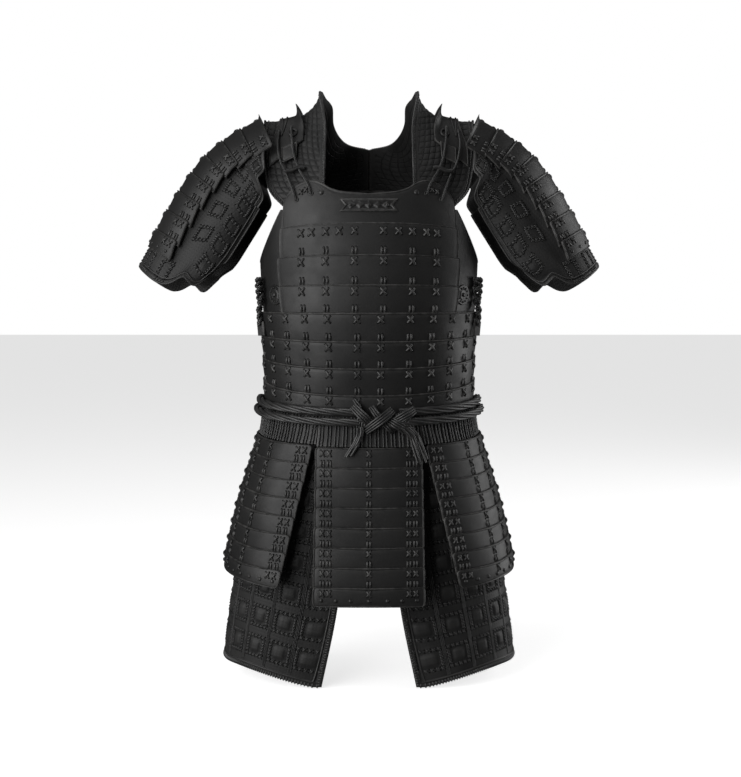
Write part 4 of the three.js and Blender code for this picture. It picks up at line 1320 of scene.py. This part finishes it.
# Thigh guards: hung inside the lowest waist lame, each round the front and side of one thigh
thighTable = columns(("centre", "halfWidth", "halfDepth", "innerX"), [
    (-905, 88, 158, 104, 77), (-770, 80, 149, 106, 50), (-620, 62, 140, 110, 30),
    (-520, 24, 152, 113, 14), (-480, 4, 163, 116.4, 8), (-440, 0, 166.9, 119, 6),
])
thigh = {
    "top": -446, "hemInner": -897, "hemOuter": -868, "backAngle": 102, "square": (17.5, 20.5), "height": 2.4,
    "columns": [0.076, 0.23, 0.395, 0.568, 0.736, 0.9], "rows": [43, 96, 149, 202, 255, 308, 361],
    "rim": (0, 0.14, 0.5, 1.2, 2.0, 2.9, 3.8, 4.7, 5.5, 6.4, 7.4, 8.4, 9.4, 10.4),
    "seamShifts": (-1, 0, 1), "seamStep": 1.9 / 270, "seam": plain(0.00085, 0.004, 6),
    "whipStep": 4.2, "whip": thread(0.0014, 0.0062, 0.0031, 0.0006, 5), "piping": plain(0.0013, 0.002, 8),
}


def makeThighGuards(spec):
    height = spec["top"] - spec["hemInner"]
    clothes = []
    for name, side in flips.items():
        def at(u, rise, lift):
            z0 = spec["hemInner"] + rise
            inward = (thighTable["innerX"](z0) - thighTable["centre"](z0)) / thighTable["halfWidth"](z0)
            start = np.sign(inward) * np.arcsin(np.abs(inward) ** (squareness / 2)) / deg
            angle = mix(start, spec["backAngle"], u)
            slant = np.sin(np.minimum(90, 1.5 * np.maximum(0, angle)) * deg)
            z = mix(mix(spec["hemInner"], spec["hemOuter"], slant), level(-462, -438)(angle), rise / height)
            p = onOval(angle, thighTable["halfWidth"](z), thighTable["halfDepth"](z), z, lift - cloth - gap)
            p[..., 0] += thighTable["centre"](z)
            return mirrored(p, side)

        def relief(u, v, x, y, edge):
            total = roll(edge, 2.8, 2.5, 1.0) + roll(edge, 7.6, 2.0, 0.6) - 0.6 * ridge(edge, 11, 0.8)
            for column in spec["columns"]:
                du = (u - column) * x[:, -1:]
                for row in spec["rows"]:
                    total = total + squareRelief(du, v - row, *spec["square"], spec["height"])
            return total

        us, vs = edged(300, 2.9, spec["rim"]), height * edged(height, 2.9, spec["rim"])
        skin = shell(us, vs, at, cloth, relief)
        piece = cover(f"thigh_guard_{name}", "cloth", skin)
        marks, holes = Marks(), Marks()
        surface = lambda u, rise, lift: at(u, rise, cloth + lift)
        for row in spec["rows"]:
            width = stepsOf(at(np.linspace(0, 1, 60), np.full(60, float(row)), cloth)).sum()
            for column in spec["columns"]:
                sewSquare(marks, holes, surface, column, row, 1 / width, *spec["square"], 5)
        trims = growSewing(f"thigh_guard_{name}", marks, holes)
        lines = []
        rise = np.linspace(12, height - 8, 110)
        for a, b in zip(spec["columns"], spec["columns"][1:]):
            for shift in spec["seamShifts"]:
                lines.append(at((a + b) / 2 + shift * spec["seamStep"] + 0 * rise, rise, cloth + 0.25))
        trims.append(ropes(f"thigh_guard_{name}_seams", lines, spec["seam"]))
        inner, hemU = np.linspace(height - 6, 10.5, 150), np.linspace(0.04, 0.985, 110)
        stretches = ((0.036 + 0 * inner, inner), (hemU, 9.6 + 0 * hemU))
        edge = np.concatenate([at(u, v, cloth + 0.9) for u, v in stretches])
        whip = Marks()
        for rise in np.arange(5, height - 8, spec["whipStep"]):
            whip.on(frameAt(surface, 0.012, rise), 0.2)
        for u in np.arange(0.02, 0.99, spec["whipStep"] / 270):
            whip.on(frameAt(surface, u, 3.0), 0.2, upwards=True)
        whip.grow(f"thigh_guard_{name}_whipping", "cord", stitchTree, spec["whip"])
        trims.append(ropes(f"thigh_guard_{name}_trim", [edge], spec["piping"], "lace"))
        clothes.append((piece, trims, skin))
    return clothes


thighs = makeThighGuards(thigh)
print("thigh guards sewn")

# Each sleeve and thigh guard is one flat cut of padded cloth
def declareCloth(clothes, carriers):
    for (piece, trims, skin), carrier in zip(clothes, carriers):
        width, length = skin["cut"][:, 0].max(), skin["cut"][:, 1].max()
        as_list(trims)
        size = f"{width * 1000:.0f} x {length * 1000:.0f} mm, {skin['area']:.4f} square metres"
        print(f"{piece.name}: cut {size}")


declareCloth(sleeves, ["yoke_left_quilt", "yoke_right_quilt"])
declareCloth(thighs, ["waist_lame_4_leather"] * 2)

# Side ties: a lace knotted thick over each side seam, twisted below and ending in a leather tab
sideTie = {
    "angle": 70, "top": -246, "foot": -322, "turns": 3, "knot": (4.2, 7.1), "low": (2.6, 11.8),
    "wraps": [(-250, 6, 1.0), (-258, 6.6, -1.0), (-268, 6.4, 1.4), (-277, 5.6, -1.2), (-286, 4.6, 0.8)],
    "lace": laid(3, 0.0015, 0.0015, 0.014, 0.0014, 7),
    "tabHalf": 7, "tabFoot": -338, "tabTurn": 37,
}


def makeSideTies(spec):
    for name, side in flips.items():
        t = np.linspace(0, 1, 120)
        below = np.clip((t - 0.5) / 0.18, 0, 1)
        twist, out = (mix(spec["knot"][i], spec["low"][i], below) for i in (0, 1))
        laces = []
        for phase in (0, 180):
            turn = (phase + 360 * spec["turns"] * t) * deg
            p = onTorso(spec["angle"], mix(spec["top"], spec["foot"], t), out + twist * np.cos(turn))
            p[:, 1] += twist * np.sin(turn)
            laces.append(mirrored(p, side))
        for z, radius, slope in spec["wraps"]:
            turn = np.linspace(0, 1.1 * math.pi, 20) - 0.3
            out = spec["knot"][1] - 0.5 + radius * np.sin(turn)
            p = onTorso(spec["angle"], z + 3 * slope * np.cos(turn), out)
            p[:, 1] -= 1.25 * radius * np.cos(turn)
            laces.append(mirrored(p, side))
        ropes(f"side_tie_{name}_laces", laces, spec["lace"], "cord", [f"side_tie_{name}"])

        def at(u, v, lift):
            z = mix(spec["tabFoot"], spec["foot"] + 7, v)
            p = onTorso(spec["angle"] + 0 * u, z, spec["low"][1] - 2.4 + lift)
            p[..., 0] += spec["tabHalf"] * u * math.cos(spec["tabTurn"] * deg)
            p[..., 1] += spec["tabHalf"] * u * math.sin(spec["tabTurn"] * deg)
            return mirrored(p, side)

        wallPiece(f"side_tab_{name}", "leather", shell(2 * edged(14, 1.5) - 1, edged(22, 1.5), at, 3.4))


makeSideTies(sideTie)
print("side ties tied")

# Lacing below the waist: a cloth band under pairs of thin cords, which carry the skirt panels
lacing = {
    "bands": [
        ("front", -23.6, 23.6, (-509.4, -509.4)), ("left", 23.9, 156.1, (-507.4, -494.4)),
        ("back", 156.4, 203.6, (-509.4, -509.4)), ("right", 203.9, 336.1, (-507.4, -494.4)),
    ],
    "top": (-463.5, -449), "flare": 2, "base": 1.4, "waistClear": 8, "pairPitch": 11.4, "pairSpread": 5.0,
    "slant": 4.7, "cord": laid(2, 0.00105, 0.0006, 0.011, 0.002, 6),
}


def makeLacing(spec):
    top = level(*spec["top"])
    for name, start, end, footLevels in spec["bands"]:
        foot = level(*footLevels)

        def at(u, v, lift):
            angle = mix(start, end, u)
            out = leather + 3 * gap + spec["flare"] * (1 - v) + lift - spec["waistClear"]
            return onSkirt(angle, mix(foot(angle), top(angle), v), out)

        us = np.linspace(0, 1, 400)
        reach = alongOf(at(us, 0 * us + 0.3, spec["base"]))
        skin = shell(edged(reach[-1], 3.5), edged(46, 5), at, spec["base"])
        wallPiece(f"lacing_band_{name}", "leather", skin)
        paths = []
        count = int((reach[-1] - 4) / spec["pairPitch"])
        v = np.linspace(1.0, 0.0, 12)
        for k in range(count):
            for shift in (-0.5, 0.5):
                x = (k + 0.5) * reach[-1] / count + shift * spec["pairSpread"]
                if name in flips:
                    x = x + spec["slant"] * (v - 0.5) * np.clip(2 * (x / reach[-1]) - 1, -1, 1)
                u = np.interp(x, reach, us) + 0.0012 * np.sin(5 * v + k * 1.7 + shift) * bowed(v)
                sag = 0.2 * np.sin(k * 2.3 + shift) * bowed(v)
                paths.append(at(u, v, spec["base"] + 1.3 + sag))
        ropes(f"lacing_cords_{name}", paths, spec["cord"], "cord", [f"skirt_lacing_{name}"])


makeLacing(lacing)
print("lacing laid")

# Skirt panels: each is eight lames high; its edges are distances from the middle at the top and at the hem
panels = {
    "front": {"top": -510, "foot": -754, "sideTop": -510, "sideFoot": -754, "edges": (-83, -87, 83, 87)},
    "side": {"top": -508, "foot": -733, "sideTop": -495, "sideFoot": -713, "edges": (86, 141, None, None)},
    "lames": 8, "slack": 0.9, "tuck": 6.0, "corner": 6.0, "crown": 0.9, "bead": 0.55, "groove": 0.5,
    "dents": 0.22, "perUnit": 1.025,
    "frontCrosses": (-72, -60, 0, 60, 72), "frontRivets": (-73.5, -48, -24.5, 0, 24.5, 48, 73.5),
    "sideCrosses": (10.0, 20.5), "sideShares": (0.45, 0.7, 0.93), "sideRivets": (0.06, 0.99, 0.118),
    "laceLength": 14.2, "laces": thread(0.00165, 0.0142, 0.0029, 0.0008, 6), "rivet": domed(0.0033, 0.7, 6),
    "cross": (0.6, 0.85, 0.72), "crossAt": 9.0, "pair": (4.5, 0.62), "pairAt": 5.2, "rivetAt": 10.5,
}


def makePanels(spec):
    relief = rimRelief(spec)
    laces, heads = Marks(spec["laceLength"]), Marks()
    turns = {
        "front": ("front", (1, 1, 1)), "back": ("front", (-1, -1, 1)), "front_left": ("side", (1, 1, 1)),
        "front_right": ("side", (-1, 1, 1)), "back_left": ("side", (1, -1, 1)),
        "back_right": ("side", (-1, -1, 1)),
    }
    for name, (kind, flip) in turns.items():
        row = spec[kind]
        startTop, startFoot, endTop, endFoot = row["edges"]
        topAt, footAt = level(row["top"], row["sideTop"]), level(row["foot"], row["sideFoot"])
        height = (row["top"] - row["foot"]) / spec["lames"]
        skins = []

        edgeAngle = lambda x, z: angleOf(x, skirt["halfWidth"](z))

        def onPanel(u, v, out):
            z0 = mix(row["foot"], row["top"], v)
            start = edgeAngle(mix(startFoot, startTop, v), z0)
            end = 88.6 + 0 * z0 if endTop is None else edgeAngle(mix(endFoot, endTop, v), z0)
            angle = mix(start, end, u)
            base = onSkirt(angle, mix(footAt(angle), topAt(angle), v), 0.0)
            dent = spec["dents"] * unevenness(base * np.array([1, 1, 1.3]))
            return onSkirt(angle, base[..., 2], out + dent) * np.array(flip, float)

        for i in range(spec["lames"]):
            below = 0 if i == 0 else spec["tuck"] / height

            def at(u, w, lift):
                s = mix(-below, 1, w)
                up = (1 - s) * height
                ends = np.minimum(up, (s + below) * height) if i == 0 else up
                u = 0.5 + (u - 0.5) * (1 - 2 * cornerInset(ends, spec["corner"]) / 165)
                out = (stand - spec["slack"]) * s + lift + spec["crown"] * bowed(w)
                return onPanel(u, (i + s) / spec["lames"], out)

            length = 168 if kind == "front" else 175
            skins.append(shell(edged(length, 4.8), edged(height * (1 + below), 4.4), at, leather, relief))
            surface = lambda u, s, lift: at(u, (s + below) / (1 + below), leather + lift)
            width = stepsOf(surface(np.linspace(0, 1, 80), 0.5 + np.zeros(80), 0)).sum()
            if kind == "front":
                fromMiddle = lambda places: [0.5 + x / spec["perUnit"] / width for x in places]
                shares, rivets = fromMiddle(spec["frontCrosses"]), fromMiddle(spec["frontRivets"])
            else:
                shares = [x / width for x in spec["sideCrosses"]] + list(spec["sideShares"])
                rivets = np.arange(*spec["sideRivets"])
            for u in shares:
                laces.cross(frameAt(surface, u, 1 - spec["crossAt"] / height), *spec["cross"])
                if i > 0:
                    laces.pair(frameAt(surface, u, spec["pairAt"] / height), *spec["pair"])
            if i == 0:
                for u in rivets:
                    heads.on(frameAt(surface, u, spec["rivetAt"] / height))
        cover(f"skirt_panel_{name}", "leather", together(skins))
    laces.grow("skirt_laces", "lace", stitchTree, spec["laces"])
    heads.grow("skirt_rivets", "fitting", rivetTree, spec["rivet"])


makePanels(panels)
print("skirt panels laced")

# The rope belt: two long-laid turns that meet in a knot of flat cord bundles, left of the middle
belt = {
    "turns": [(11.6, -455, -441), (16, -470.5, -456)], "knotFrom": -3.5, "knotTo": 13, "spacing": 3.2,
    "laid": laid(5, 0.0023, 0.004, 0.14, 0.003, 9), "cord": plain(0.0017, 0.002, 9),
    "bundles": [  # from x, z, to x, z, out at both ends and in between, and how many cords
        (-22, -436, -13, -448, 7, 10, 14, 2), (-10, -458, -13.5, -486, 13, 17, 12, 4),
        (47, -456, 61, -486, 14, 18, 13, 5), (24, -473, 36, -485, 13, 17, 12, 3),
        (30, -466, 56, -483.5, 15, 21, 15, 4), (67, -451, 40, -468, 15, 21, 17, 4),
        (4, -447, 19, -468, 14, 21, 17, 3), (-23, -446, 6, -475, 14, 22, 15, 4),
        (34, -452, -4, -483, 18, 26, 16, 4),
    ],
}


def makeBelt(spec):
    paths = []
    for out, middle, side in spec["turns"]:
        angle = np.linspace(spec["knotTo"], 360 + spec["knotFrom"], 300)
        height = level(middle, side)(angle)
        paths.append(onTorso(angle, height, out + 0 * angle))
    ropes("rope_belt_turns", paths, spec["laid"], "cord", ["rope_belt"])
    cords = []
    for fromX, fromZ, toX, toZ, first, between, last, count in spec["bundles"]:
        t = np.linspace(-0.04, 1.04, 20)
        bow = np.sin(math.pi * np.clip(t, 0, 1))
        run = np.array([toX - fromX, toZ - fromZ]) / math.hypot(toX - fromX, toZ - fromZ)
        out = mix(first, last, t) + (between - (first + last) / 2) * bow
        for k in range(count):
            side = k - (count - 1) / 2
            beside = side * (spec["spacing"] + 0.45 * bow)
            arched = 1.6 * (1 - (2 * side / count) ** 2)
            x, z = mix(fromX, toX, t) - beside * run[1], mix(fromZ, toZ, t) + beside * run[0]
            cords.append(acrossTorso(x, z, out + arched))
    ropes("rope_belt_knot", cords, spec["cord"])


makeBelt(belt)
print("belt knotted")

# Studio: pale floor and white surround, with most of the light from a large softbox on the viewer's left
studio = {
    "floorZ": -0.8985, "floorHalf": 30, "floor": grey(0.9), "floorGlow": 0.8, "surround": 1.0,
    "ambient": 0.05, "aim": (0, 0, -0.4),
    "softboxes": {  # azimuth from the front, distance, height over the origin, width and height, and watts
        "left": (-46, 2.6, 0.0, 2.8, 3.0, 82), "right": (100, 2.8, 0.0, 2.6, 3.0, 56),
        "top": (0, 0.4, 2.2, 1.6, 1.2, 9),
    },
}


def makeStudio(spec):
    floor = bpy.data.meshes.new("floor")
    half, z = spec["floorHalf"], spec["floorZ"]
    corners = [(-half, -half, z), (half, -half, z), (half, half, z), (-half, half, z)]
    floor.from_pydata(corners, [], [range(4)])
    base = {"Base Color": spec["floor"], "Roughness": 0.9, "Emission Color": spec["floor"]}
    floor.materials.append(nodeMaterial("floor", {**base, "Emission Strength": spec["floorGlow"]})[0])
    floorObject = bpy.data.objects.new("floor", floor)
    bpy.context.collection.objects.link(floorObject)
    floorObject.visible_glossy = floorObject.visible_diffuse = False  # a black thing shows every bright floor
    world = bpy.data.worlds.new("studio")
    bpy.context.scene.world = world
    bpy.context.scene.view_settings.view_transform = "Standard"
    world.use_nodes = True
    tree = world.node_tree
    seen = tree.nodes.new("ShaderNodeLightPath").outputs["Is Camera Ray"]
    background = tree.nodes["Background"].inputs
    tree.links.new(ramp(tree, seen, spec["ambient"], spec["surround"]), background["Strength"])
    background["Color"].default_value = (1, 1, 1, 1)
    for name, (azimuth, distance, height, width, tall, power) in spec["softboxes"].items():
        light = bpy.data.lights.new(name, "AREA")
        light.shape, light.size, light.size_y, light.energy = "RECTANGLE", width, tall, power
        lamp = bpy.data.objects.new(name, light)
        lamp.location = (distance * math.sin(azimuth * deg), -distance * math.cos(azimuth * deg), height)
        lamp.rotation_euler = (Vector(spec["aim"]) - lamp.location).to_track_quat("-Z", "Y").to_euler()
        lamp.visible_camera = False
        bpy.context.collection.objects.link(lamp)


makeStudio(studio)
